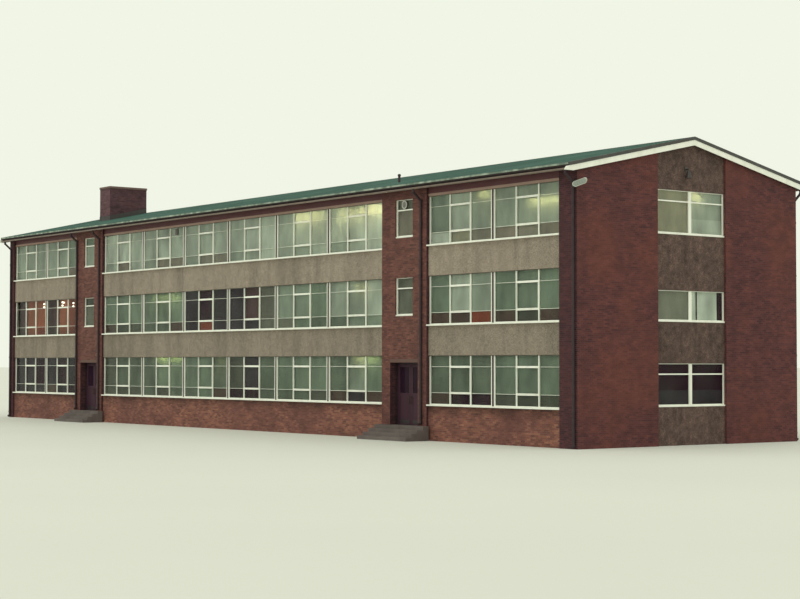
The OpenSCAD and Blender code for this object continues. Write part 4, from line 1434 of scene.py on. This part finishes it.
@dataclass
class ClassroomWindows:
    """What the frames hold: thin bars, opening casements and sun screens, with the lamps behind them."""

    plan: Plan
    finishes: Finishes
    bar_w: float = 0.008
    bar_d: float = 0.014
    casement_w: float = 0.014
    casement_proud: float = 0.006
    casement_lap: float = 0.01
    screen_back: float = 0.012
    screen_t: float = 0.002
    screen_lap: float = 0.01
    screen_gap: float = 0.002
    # How far a screen stands behind the one beside it, and behind the one over or under it
    screen_steps: Span = (0.006, 0.003)
    rear_dim: float = 0.6
    uneven: float = 0.015
    seed: int = 1975
    stair_split: float = 0.735
    gable_split: Span = (0.35, 0.36)
    # The first floor's gable window: its short screen, the dark sheet beside it and a dark upright bar
    short_by: float = 0.16
    dark_w: float = 0.18
    dark_bar: Span = (0.2, 0.028)
    dark_bar_out: Span = (0.001, 0.006)
    globe_room: float = 0.12
    globe_r: float = 0.027
    globe_rod_r: float = 0.003
    far_lap: float = 0.2
    slip: float = 0.19
    lamp_w: float = 0.05
    lamp_h: float = 0.045
    shelf_t: float = 0.015
    diffuser_inset: float = 0.006
    diffuser_taper: float = 0.008
    rod_r: float = 0.004
    rod_in: float = 0.1
    # The lamp in the top gable window: its ends from the window's middle, its drop and its distance
    gable_lamp_ends: Span = (0.06, 0.34)
    gable_lamp_drop: float = 0.03
    gable_lamp_away: float = 0.13
    gable_rod_in: float = 0.05

    @property
    def glass_back(self) -> float:
        """Y of the plane behind the front windows' frames where the nearest screens hang."""
        return self.plan.y_front + self.plan.frame_back + self.plan.frame_d + self.screen_back

    def bays(self) -> Iterator[Bay]:
        """Give every bay of the front wall.

        Yields:
            Each bay, counted from the left on each storey.
        """
        plan = self.plan
        for storey in range(3):
            number = 0
            for strip in plan.strips:
                for place in range(strip.bays):
                    left = strip.left + place * strip.bay_w + (plan.post_w / 2 if place else 0.0)
                    right = strip.left + (place + 1) * strip.bay_w
                    right -= plan.post_w / 2 if place < strip.bays - 1 else 0.0
                    yield Bay(left, right, storey, number)
                    number += 1

    def bars(self) -> None:
        """Build the thin bars of the side lights, level with the heavy transoms between them."""
        plan = self.plan
        shape = Shape()
        back = plan.y_front + plan.frame_back + plan.frame_d
        for bay in self.bays():
            for left, right in bay.lights(plan.frame_w)[::2]:
                for transom in plan.transoms:
                    z = plan.sill(bay.storey) + transom + plan.transom_h / 2
                    low, high = z - self.bar_w / 2, z + self.bar_w / 2
                    shape.box((left, back - self.bar_d, low), (right, back, high))
        shape.repeat(plan.to_rear)
        shape.piece("glazing_bars", self.finishes["white_paint"], "white_paint", soften=0.002)

    def casements(self) -> None:
        """Build the opening casements of the middle lights, a little proud of their frames."""
        plan = self.plan
        shape = Shape()
        face = plan.y_front + plan.frame_back
        lap = self.casement_lap
        for bay in self.bays():
            left, right = bay.lights(plan.frame_w)[1]
            low = plan.sill(bay.storey) + plan.transoms[0] + plan.transom_h
            high = plan.sill(bay.storey) + plan.transoms[1]
            shape.ring((left - lap, right + lap, low - lap, high + lap), (face - self.casement_proud, face),
                       self.casement_w)
        shape.repeat(plan.to_rear)
        shape.piece("opening_casements", self.finishes["white_paint"], "white_paint", soften=0.0015)

    def reach(self, bay: Bay, number: int) -> Span:
        """Find how far a light's screens go. Those of a deep bay hang further left, where they are seen.

        Args:
            bay: The light's bay.
            number: Its number in the bay.

        Returns:
            The screens' left and right edges.
        """
        left, right = bay.lights(self.plan.frame_w)[number]
        half = self.plan.frame_w / 2 + self.screen_lap
        low = left - half if number else bay.left
        high = right + half if number < 2 else bay.right - self.screen_gap
        if not bay.deep:
            return low, high
        low = low - self.slip if bay.number or number else low - self.far_lap
        return low, high if bay.number and number == 2 else high - self.slip

    def screens(self) -> None:
        """Build the front windows' screens, each bay with its own shades, and dimmer ones at the rear."""
        plan = self.plan
        chance = random.Random(self.seed)
        front, rear = Shape(), Shape()
        beside, stacked = self.screen_steps
        for bay in self.bays():
            screens = SCREENS[bay.storey][bay.number]
            sill = plan.sill(bay.storey)
            split = sill + plan.transoms[0] + plan.transom_h / 2
            rows = ((screens.upper, split - self.screen_lap, sill + plan.window_h - self.screen_gap),
                    (screens.low, sill + 2 * self.screen_gap, split + self.screen_lap))
            for number in range(3):
                low_x, high_x = self.reach(bay, number)
                for step, (sheets, low, high) in enumerate(rows):
                    shade = sheets[number].value
                    rear_y = self.glass_back + beside * (number % 2) + stacked * step
                    y = rear_y + (self.globe_room if bay.deep else 0.0)
                    tone = max(shade + chance.uniform(-self.uneven, self.uneven), 0.0)
                    front.box((low_x, y, low), (high_x, y + self.screen_t, high), tone)
                    start = max(low_x, bay.left + self.screen_gap)
                    dim = min(shade, 1.0) * self.rear_dim
                    rear.box((start, rear_y, low), (high_x, rear_y + self.screen_t, high), dim)
        front.piece("front_sun_screens", self.finishes["sun_screens"], "white_paint")
        rear.points = [plan.to_rear(point) for point in rear.points]
        rear.faces = [face[::-1] for face in rear.faces]
        rear.piece("rear_sun_screens", self.finishes["sun_screens"], "white_paint")

    def stair_screens(self) -> None:
        """Build the screens of the stair windows at the front, and obscure ones at the rear."""
        plan = self.plan
        shape = Shape()
        width, height = plan.stair_window
        gap, lap = self.screen_gap, self.screen_lap
        split = height * self.stair_split
        near = plan.y_front + plan.stair_back + plan.frame_d + self.screen_back
        for place, x in enumerate(plan.stairs):
            for storey in range(3):
                sill = plan.stair_sill(storey)
                shades = STAIR_SCREENS[storey][place].upper
                for step, (low, high) in enumerate(((2 * gap, split + lap), (split - lap, height - gap))):
                    y = near + self.screen_steps[1] * step
                    low_corner = (x - width / 2 + gap, y, sill + low)
                    high_corner = (x + width / 2 - gap, y + self.screen_t, sill + high)
                    if storey:
                        shape.box(low_corner, high_corner, shades[step].value)
                    mirrored = [plan.to_rear(low_corner), plan.to_rear(high_corner)]
                    shape.box((low_corner[0], mirrored[1][1], low_corner[2]),
                              (high_corner[0], mirrored[0][1], high_corner[2]), Sheet.LEAF.value)
        shape.piece("stair_window_screens", self.finishes["sun_screens"], "white_paint")

    def gable_screens(self) -> None:
        """Build the screens of both gables' windows.

        The right one on the first floor is short, with a dark sheet behind its end and a dark bar before it.
        """
        plan = self.plan
        shape = Shape()
        face = plan.x_right - plan.gable_frame_back - plan.frame_d - self.screen_back
        y0, y1 = plan.column
        middle = (y0 + y1) / 2
        gap, lap = self.screen_gap, self.screen_lap
        beside, stacked = self.screen_steps
        lights = ((y0 + 2 * gap, middle + lap), (middle - lap, y1 - 2 * gap))
        for storey, screens in enumerate(GABLE_SCREENS):
            sill = plan.gable_sill(storey)
            height = plan.gable_heights[storey]
            rows = ((2 * gap, height * self.gable_split[1]), (height * self.gable_split[0], height - gap))
            for number, (start, end) in enumerate(lights):
                for step, (low, high) in enumerate(rows):
                    sheet = (screens.low, screens.upper)[step][number]
                    x = face - beside * number - stacked * step
                    stop = y1 - self.short_by if storey == 1 and number else end
                    shape.box((x - self.screen_t, start, sill + low), (x, stop, sill + high), sheet.value)
            if storey == 1:
                low, high = sill + 2 * gap, sill + height - gap
                far = face - 2 * beside
                dark = Sheet.BLACK.value
                # The black sheet is painted shade of the room behind the glass
                shape.box((far - self.screen_t, y1 - self.dark_w, low), (far, y1 - 2 * gap, high), dark)
                bar = middle + (y1 - middle) * self.dark_bar[0]
                near, front = (face + out for out in self.dark_bar_out)
                shape.box((near, bar, low), (front, bar + self.dark_bar[1], high), dark)
        shape.repeat(plan.to_left)
        shape.piece("gable_window_screens", self.finishes["sun_screens"], "white_paint")

    def globes(self) -> None:
        """Hang the pale globes seen in the first floor's left bays."""
        plan = self.plan
        globes, rods = Shape(), Shape()
        bays = {bay.number: bay for bay in self.bays() if bay.storey == 1}
        top = plan.sill(1) + plan.window_h
        y = self.glass_back + self.globe_room / 2
        for number, share, drop in GLOBES:
            bay = bays[number]
            x = bay.left + share * (bay.right - bay.left)
            globes.ball((x, y, top - drop), self.globe_r)
            rods.tube([(x, y, top - drop + self.globe_r * 0.8), (x, y, plan.ceiling(1))], self.globe_rod_r)
        globes.piece("globe_lamps", self.finishes["lit_globe"], "lamp_casing")
        rods.piece("globe_rods", self.finishes["worn_brass"], "lamp_casing")

    def lamps(self) -> None:
        """Hang the lit strip lamps whose glow shows in the windows: a casing over a diffuser."""
        plan = self.plan
        casings, tubes = Shape(), Shape()
        bays = {(bay.storey, bay.number): bay for bay in self.bays()}
        wide = self.lamp_w / 2
        for lamp in LIT_LAMPS:
            bay = bays[lamp.storey, lamp.bay]
            start, end = (bay.left + share * (bay.right - bay.left) for share in lamp.ends)
            y = self.glass_back + lamp.away
            top = plan.sill(lamp.storey) + plan.window_h - lamp.drop + self.lamp_h / 2
            casings.box((start, y - wide, top - self.shelf_t), (end, y + wide, top))
            for x in (start + self.rod_in, end - self.rod_in):
                casings.tube([(x, y, top), (x, y, plan.ceiling(lamp.storey))], self.rod_r)
            inset = self.diffuser_inset
            ends = [(start, end, wide), (start + inset, end - inset, wide - self.diffuser_taper)]
            rings = [[(a, y - w, z), (b, y - w, z), (b, y + w, z), (a, y + w, z)]
                     for (a, b, w), z in zip(ends, (top - self.shelf_t, top - self.lamp_h))]
            tubes.block(rings[1], rings[0])
        self.gable_lamp(casings, tubes)
        casings.piece("strip_lamp_casings", self.finishes["lamp_enamel"], "lamp_casing")
        tubes.piece("strip_lamp_diffusers", self.finishes["lit_diffuser"], "lamp_casing")

    def gable_lamp(self, casings: Shape, tubes: Shape) -> None:
        """Add the lit lamp in the right gable's top window.

        Args:
            casings: Where its casing goes.
            tubes: Where its diffuser goes.
        """
        plan = self.plan
        wide, inset = self.lamp_w / 2, self.diffuser_inset
        narrow = wide - inset
        x = plan.x_right - plan.gable_frame_back - plan.frame_d - self.screen_back - self.gable_lamp_away
        start, end = (sum(plan.column) / 2 + share for share in self.gable_lamp_ends)
        top = plan.gable_sill(2) + plan.gable_heights[2] - self.gable_lamp_drop
        shelf = top - self.shelf_t
        casings.box((x - wide, start, shelf), (x + wide, end, top))
        tubes.box((x - narrow, start + inset, top - self.lamp_h), (x + narrow, end - inset, shelf))
        for y in (start + self.gable_rod_in, end - self.gable_rod_in):
            casings.tube([(x, y, top), (x, y, plan.ceiling(2))], self.rod_r)

    def build(self) -> None:
        """Build everything in the windows."""
        self.bars()
        self.casements()
        self.screens()
        self.stair_screens()
        self.gable_screens()
        self.lamps()
        self.globes()


@dataclass
class Linings:
    """Thin plaster on the inner faces of the outer walls, with the windows left open."""

    plan: Plan
    finishes: Finishes
    thick: float = 0.004
    door_margin: Span = (0.08, 0.01)

    def windows(self, rear: bool) -> list[Opening]:
        """List the window and door holes of a long wall.

        Args:
            rear: Whether it is the rear wall.

        Returns:
            The holes.
        """
        plan = self.plan
        holes = []
        for storey in range(3):
            sill = plan.sill(storey)
            holes += [Opening(s.left, s.right, sill - plan.sill_t, sill + plan.window_h) for s in plan.strips]
            if storey or rear:
                half = plan.stair_window[0] / 2
                sill = plan.stair_sill(storey)
                low, high = sill - plan.sill_t, sill + plan.stair_window[1]
                holes += [Opening(x - half, x + half, low, high) for x in plan.stairs]
            else:
                half = plan.door_w / 2 + self.door_margin[0]
                top = plan.door_top + plan.door_lintel_h + self.door_margin[1]
                holes += [Opening(x - half, x + half, plan.floor_h, top) for x in plan.stairs]
        return holes

    def build(self) -> None:
        """Build the lining of each storey on all four sides."""
        plan = self.plan
        shape = Shape()
        x0, x1 = plan.x_left + plan.wall_t, plan.x_right - plan.wall_t
        y0, y1 = plan.y_front + plan.wall_t, plan.y_rear - plan.wall_t
        gable_holes = []
        for sill, height in zip(map(plan.gable_sill, range(3)), plan.gable_heights):
            gable_holes.append(Opening(*plan.column, sill - plan.sill_t, sill + height))
        for storey in range(3):
            up = (plan.floor_h + storey * plan.storey_h, plan.ceiling(storey))
            shape.sheet((x0, x1), up, self.windows(False), lambda s, z, d: (s, y0 + d, z), self.thick)
            shape.sheet((x0, x1), up, self.windows(True), lambda s, z, d: (s, y1 - d, z), self.thick)
            ends = (y0 + self.thick, y1 - self.thick)
            shape.sheet(ends, up, gable_holes, lambda s, z, d: (x0 + d, s, z), self.thick)
            shape.sheet(ends, up, gable_holes, lambda s, z, d: (x1 - d, s, z), self.thick)
        shape.piece("inner_plaster", self.finishes["inner_plaster"], "plaster")


@dataclass
class RoofTrim:
    """What dresses the roof: drip trims, laps of its covering, and the gutters' brackets and unions."""

    plan: Plan
    finishes: Finishes
    trim_h: float = 0.034
    trim_t: float = 0.0025
    trim_length: float = 2.4
    trim_flange: float = 0.02
    trim_joint: float = 0.003
    lap_w: float = 0.04
    lap_t: float = 0.002
    laps: tuple[float, ...] = (0.9, 1.75, 2.6)
    lap_edge: float = 0.0004
    lap_in: float = 0.06
    flashing_room: float = 0.03
    flashing_gap: float = 0.01
    # The gutters' brackets and unions: their spacing, the first one's place, their width and their thickness
    straps: tuple[tuple[float, float, float, float], ...] = (
        (0.6, 0.1, 0.012, 0.003), (1.8, 0.4, 0.04, 0.004),
    )
    strap_turns: Span = (178.0, 362.0)
    strap_flats: int = 8
    strap_margin: float = 0.2
    verge_in: float = 0.02

    def ends(self) -> Span:
        """Return where the trim starts and stops along the roof."""
        reach = self.plan.verge_reach - self.verge_in
        return self.plan.x_left - reach, self.plan.x_right + reach

    def drip_trims(self) -> None:
        """Build the pale metal lengths on the upper edge of each slope's end."""
        plan = self.plan
        shape = Shape()
        x, stop = self.ends()
        y = plan.y_front - plan.eaves_reach
        near, far = y - self.trim_t, y + self.trim_flange
        top, high = plan.roof_top(y), plan.roof_top(far)
        while x < stop:
            end = min(x + self.trim_length, stop)
            right = end - self.trim_joint
            shape.box((x, near, top - self.trim_h), (right, y, top + self.trim_t))
            under = [(x, near, top), (right, near, top), (right, far, high), (x, far, high)]
            shape.block(under, [(a, b, z + self.trim_t) for a, b, z in under])
            x = end
        shape.repeat(plan.to_rear)
        shape.piece("drip_trims", self.finishes["drip_trim"], "roof_green")

    def covering_laps(self) -> None:
        """Build the laps of the covering, parallel to the ridge and broken by the chimney."""
        plan = self.plan
        shape = Shape()
        start, stop = self.ends()
        start += self.lap_in
        stop -= self.lap_in
        rises = (self.lap_t, self.lap_t, self.lap_edge, self.lap_edge)
        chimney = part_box("chimney_flashing")
        for distance in self.laps:
            y = plan.y_ridge - distance
            far = y + self.lap_w
            low, high = plan.roof_top(y), plan.roof_top(far)
            runs = [(start, stop)]
            if chimney[0].y - self.flashing_room < y:
                runs = [(start, chimney[0].x - self.flashing_gap), (chimney[1].x + self.flashing_gap, stop)]
            for x0, x1 in runs:
                under = [(x0, y, low), (x1, y, low), (x1, far, high), (x0, far, high)]
                shape.block(under, [(a, b, z + rise) for (a, b, z), rise in zip(under, rises)])
        shape.repeat(plan.to_rear)
        shape.piece("covering_laps", self.finishes["lap_felt"], "roof_green")

    def gutter_metal(self) -> None:
        """Build the straps that hold the gutters up and the wider ones that join their lengths."""
        plan = self.plan
        shape = Shape()
        start, stop = self.ends()
        out, level, radius = plan.gutter
        middle = plan.y_front - out
        for gap, first, width, thick in self.straps:
            for number in range(int((stop - start - self.strap_margin) / gap) + 1):
                x = start + first + number * gap
                shape.band((radius, radius + thick), self.strap_turns, self.strap_flats,
                           lambda a, b, edge: (x + width * edge, middle + a, level + b))
        shape.repeat(plan.to_rear)
        shape.piece("gutter_brackets", self.finishes["gutter_paint"], "grey_metal")

    def build(self) -> None:
        """Build all trim of the roof."""
        self.drip_trims()
        self.covering_laps()
        self.gutter_metal()


@dataclass
class Doors:
    """What dresses each door leaf: glazing beads, panel mouldings and a kick plate, on both faces."""

    plan: Plan
    finishes: Finishes
    bead_w: float = 0.009
    bead_d: float = 0.006
    bead_gap: float = 0.001
    glass_gap: float = 0.0005
    moulding_d: float = 0.003
    leaf_t: float = 0.022
    panel_sink: float = 0.005
    panel: Span = (0.11, 0.6)
    plate: Span = (0.02, 0.095)
    plate_t: float = 0.0012
    glazing_z: float = 0.655

    def build(self) -> None:
        """Build the trim of the four leaves, each on its own body."""
        for stair in ("left", "right"):
            for side in ("left", "right"):
                body = f"{stair}_entrance_{side}_leaf"
                low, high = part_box(f"{stair}_entrance_{side}_pane")
                gap = self.bead_gap
                left, right = low.x + gap, high.x - gap
                foot = low.z - self.glazing_z
                panel_low, panel_high = (foot + level for level in self.panel)
                beads, plates = Shape(), Shape()
                middle = (low.y + high.y) / 2
                for out in (-1.0, 1.0):
                    near = middle + out * ((high.y - low.y) / 2 + self.glass_gap)
                    bead = sorted((near, near + out * self.bead_d))
                    beads.ring((left, right, low.z + gap, high.z - gap), bead, self.bead_w)
                    face = middle + out * self.leaf_t / 2
                    sunk = face - out * self.panel_sink
                    moulding = sorted((sunk, sunk + out * self.moulding_d))
                    beads.ring((left, right, panel_low + gap, panel_high - gap), moulding, self.bead_w)
                    near, far = sorted((face, face + out * self.plate_t))
                    plates.box((left, near, foot + self.plate[0]), (right, far, foot + self.plate[1]))
                beads.piece(f"{body}_beads", self.finishes["door_paint"], "door_timber", body, 0.001)
                plates.piece(f"{body}_kick_plates", self.finishes["kick_plate"], "door_timber", body)


@dataclass
class WallFittings:
    """Small things: the floodlight's glass and guard, the fan's grille, panel joints and the flue's liner."""

    plan: Plan
    finishes: Finishes
    lamp_at: Span = (0.075, 4.99)
    lamp_arm: float = 0.085
    lamp_size: Point = (0.08, 0.285, 0.11)
    lamp_cut: float = 0.038
    lamp_turns: Span = (20.0, 20.0)
    glass_inset: float = 0.0085
    glass_sink: float = 0.009
    glass_t: float = 0.003
    wires: tuple[float, ...] = (-0.09, -0.045, 0.0, 0.045, 0.09)
    wire_out: float = 0.004
    wire_reach: float = 0.044
    wire_r: float = 0.0016
    fan_at: Span = (-0.02, 4.938)
    fan_back: float = 0.025
    fan_r: float = 0.088
    fan_ring_w: float = 0.02
    fan_ring_t: float = 0.003
    fan_flats: int = 24
    slats: tuple[float, ...] = (-0.048, -0.024, 0.0, 0.024, 0.048)
    slat_t: float = 0.002
    slat_h: float = 0.006
    joint_w: float = 0.012
    joint_proud: float = 0.0012
    flue_wall: float = 0.124
    liner_t: float = 0.012
    liner_depth: Span = (0.5, 0.004)

    def lamp_place(self, point: Point) -> Point:
        """Place a point of the floodlight.

        Args:
            point: The point in the lamp's own frame.

        Returns:
            The point in the building's frame.
        """
        plan = self.plan
        lean, tilt = (math.radians(turn) for turn in self.lamp_turns)
        move = Matrix.Translation((plan.x_right, plan.y_front + self.lamp_at[0], self.lamp_at[1]))
        turn = Matrix.Rotation(math.radians(-45.0), 4, "Z") @ Matrix.Translation((self.lamp_arm, 0.0, 0.0))
        head = Matrix.Rotation(tilt, 4, "Y") @ Matrix.Rotation(lean, 4, "X")
        return tuple(move @ turn @ head @ Vector(point))

    def lamp_outline(self, inset: float) -> list[Span]:
        """Find the outline of the floodlight's face.

        Args:
            inset: How far inside the casing's edge it lies.

        Returns:
            The corners, cut as the casing's are.
        """
        y, z = self.lamp_size[1] / 2 - inset, self.lamp_size[2] / 2 - inset
        cut = self.lamp_cut - inset * 0.6
        low = [(-y, cut - z), (cut - y, -z), (y - cut, -z), (y, cut - z)]
        return low + [(-a, -b) for a, b in low]

    def floodlight(self) -> None:
        """Build the floodlight's glass and its guard wires."""
        glass, guard = Shape(), Shape()
        ring = self.lamp_outline(self.glass_inset)
        front = self.lamp_size[0] - self.glass_sink
        glass.block([self.lamp_place((front - self.glass_t, y, z)) for y, z in ring],
                    [self.lamp_place((front, y, z)) for y, z in ring])
        out = front + self.wire_out
        for y in self.wires:
            path = [self.lamp_place((out, y, z)) for z in (-self.wire_reach, 0.0, self.wire_reach)]
            guard.tube(path, self.wire_r)
        glass.piece("floodlight_glass", self.finishes["lamp_glass"], "lamp_casing")
        guard.piece("floodlight_guard", self.finishes["worn_steel"], "lamp_casing")

    def fan(self) -> None:
        """Build the pale ring and the slats on the fan in the stair window."""
        plan = self.plan
        shape = Shape()
        x, z = plan.stairs[1] + self.fan_at[0], self.fan_at[1]
        y = plan.y_front + self.fan_back
        inner = self.fan_r - self.fan_ring_w
        shape.band((inner, self.fan_r), (0.0, 360.0), self.fan_flats,
                   lambda a, b, edge: (x + a, y - self.fan_ring_t * edge, z + b))
        for lift in self.slats:
            half = math.sqrt(inner ** 2 - lift ** 2)
            low, high = z + lift - self.slat_h / 2, z + lift + self.slat_h / 2
            shape.box((x - half, y - self.slat_t, low), (x + half, y, high))
        shape.piece("fan_grille", self.finishes["lamp_enamel"], "white_paint")

    def panel_joint(self) -> None:
        """Build the dark sealed joint that shows in the upper spandrel, and its like at the rear."""
        plan = self.plan
        shape = Shape()
        x = plan.strips[1].left + 2 * plan.mid_bay_w
        y = plan.y_front + plan.panel_back
        shape.box((x - self.joint_w / 2, y - self.joint_proud, plan.sill(1) + plan.window_h),
                  (x + self.joint_w / 2, y, plan.sill(2) - plan.sill_t))
        shape.repeat(plan.to_rear)
        shape.piece("panel_joints", self.finishes["soot_seal"], "aggregate")

    def flue_liner(self) -> None:
        """Build the clay liner inside the flue, just below its rim."""
        low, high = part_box("chimney_stack")
        wall, thick = self.flue_wall, self.liner_t
        x0, x1, y0, y1 = low.x + wall, high.x - wall, low.y + wall, high.y - wall
        z0, z1 = (high.z - depth for depth in self.liner_depth)
        shape = Shape()
        shape.box((x0, y0, z0), (x1, y0 + thick, z1))
        shape.box((x0, y1 - thick, z0), (x1, y1, z1))
        shape.box((x0, y0 + thick, z0), (x0 + thick, y1 - thick, z1))
        shape.box((x1 - thick, y0 + thick, z0), (x1, y1 - thick, z1))
        shape.piece("flue_liner", self.finishes["cap_concrete"], "brick")

    def build(self) -> None:
        """Build all fittings."""
        self.floodlight()
        self.fan()
        self.panel_joint()
        self.flue_liner()


@dataclass
class Carcass:
    """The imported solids, each with its finish."""

    finishes: Finishes
    wears: dict[str, str] = field(default_factory=lambda: {
        "brick_piers": "red_brick_wall", "stair_bay_infill": "stair_brick_wall",
        # The porch returns wear the painted shade of the deep doorway
        "porch_returns": "porch_brick_wall", "dado_walls": "dado_brick_wall",
        "gable_walls": "gable_brick_wall", "chimney_stack": "chimney_brick_wall",
        "spandrel_panels": "pebble_panels",
        "gable_panels": "dark_pebble_panels", "lintels": "lintel_concrete", "frieze_boards": "frieze_paint",
        "floor_slabs": "floor_and_ceiling", "top_ceiling": "ceiling_plaster", "door_steps": "step_concrete",
        "front_roof_slope": "green_roofing", "rear_roof_slope": "green_roofing",
        "chimney_flashing": "flashing_lead", "roof_edge_capping": "edge_capping", "gutters": "gutter_paint",
        "wall_lamps": "lamp_casings", "window_ventilators": "vent_enamel", "downpipes": "pipe_paint",
        "classroom_window_frames": "frame_paint",
    })
    by_slot: dict[str, str] = field(default_factory=lambda: {
        "white_paint": "white_paint", "dark_paint": "dark_paint", "glass": "window_glass",
        "door_timber": "door_paint",
    })

    def build(self) -> None:
        """Give every node its finish, by its name or else by its slot."""
        for name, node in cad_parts.items():
            for place in node.material_slots:
                finish = self.wears.get(name) or self.by_slot[place.material.name]
                if "_entrance_" in name:
                    finish = "door_leaf" if name.endswith("leaf") else "door_glass"
                place.material = self.finishes[finish]
                log.info("%s wears %s", name, finish)


@dataclass
class Studio:
    """The floor, the light and the camera at the photograph's viewpoint."""

    camera_at: Point = (36.58782, -25.36875, 1.57064)
    yaw: float = 0.92489
    pitch: float = 0.03685
    roll: float = 0.00131
    lens: float = 79.466
    floor_size: float = 1500.0
    sky: Colour = (0.876, 0.913, 0.79)
    floor: Colour = (0.72, 0.72, 0.66)
    key_energy: float = 0.5
    key_spread: float = 50.0
    key_colour: Colour = (1.0, 0.99, 0.95)
    key_from: Point = (0.25, -0.6, 1.0)

    def camera(self) -> None:
        """Set up the camera."""
        data = bpy.data.cameras.new("photo_camera")
        data.lens = self.lens
        data.sensor_width = 36.0
        data.clip_end = 2000.0
        made = bpy.data.objects.new("photo_camera", data)
        right = Vector((math.cos(self.yaw), math.sin(self.yaw), 0.0))
        ahead = Vector((-math.sin(self.yaw) * math.cos(self.pitch), math.cos(self.yaw) * math.cos(self.pitch),
                        math.sin(self.pitch)))
        up = right.cross(ahead)
        turned = math.cos(self.roll) * right + math.sin(self.roll) * up
        above = math.cos(self.roll) * up - math.sin(self.roll) * right
        columns = Matrix((turned, above, -ahead)).transposed().to_4x4()
        made.matrix_world = Matrix.Translation(self.camera_at) @ columns
        bpy.context.scene.collection.objects.link(made)
        bpy.context.scene.camera = made

    def ground(self) -> None:
        """Lay the pale floor."""
        half = self.floor_size / 2
        mesh = bpy.data.meshes.new("studio_floor")
        mesh.from_pydata([(-half, -half, 0.0), (half, -half, 0.0), (half, half, 0.0), (-half, half, 0.0)], [],
                         [(0, 1, 2, 3)])
        recipe = Recipe("studio_floor")
        shade = recipe.clouds((0.97, 1.0), 6.0, 3.0)
        mesh.materials.append(recipe.dress(recipe.times(self.floor, shade), 0.9))
        made = bpy.data.objects.new("studio_floor", mesh)
        bpy.context.scene.collection.objects.link(made)

    def light(self) -> None:
        """Light the studio with an even pale dome and one broad soft lamp."""
        scene = bpy.context.scene
        scene.view_settings.view_transform = "Standard"
        world = bpy.data.worlds.new("studio_dome")
        world.use_nodes = True
        world.node_tree.nodes["Background"].inputs[0].default_value = (*self.sky, 1.0)
        scene.world = world
        data = bpy.data.lights.new("soft_key", "SUN")
        data.energy = self.key_energy
        data.angle = math.radians(self.key_spread)
        data.color = self.key_colour
        made = bpy.data.objects.new("soft_key", data)
        made.matrix_world = Vector(self.key_from).to_track_quat("Z", "Y").to_matrix().to_4x4()
        scene.collection.objects.link(made)


def main() -> None:
    """Build the scene in order: the studio, the finishes, the solids and then each sub-assembly."""
    logging.basicConfig(level=logging.INFO, format="%(name)s: %(message)s")
    studio = Studio()
    studio.camera()
    studio.ground()
    studio.light()
    plan = Plan()
    finishes = Finishes(plan)
    Carcass(finishes).build()
    Brickwork(plan, finishes).build()
    Linings(plan, finishes).build()
    ClassroomWindows(plan, finishes).build()
    RoofTrim(plan, finishes).build()
    Doors(plan, finishes).build()
    WallFittings(plan, finishes).build()


if __name__ == "__main__":
    main()
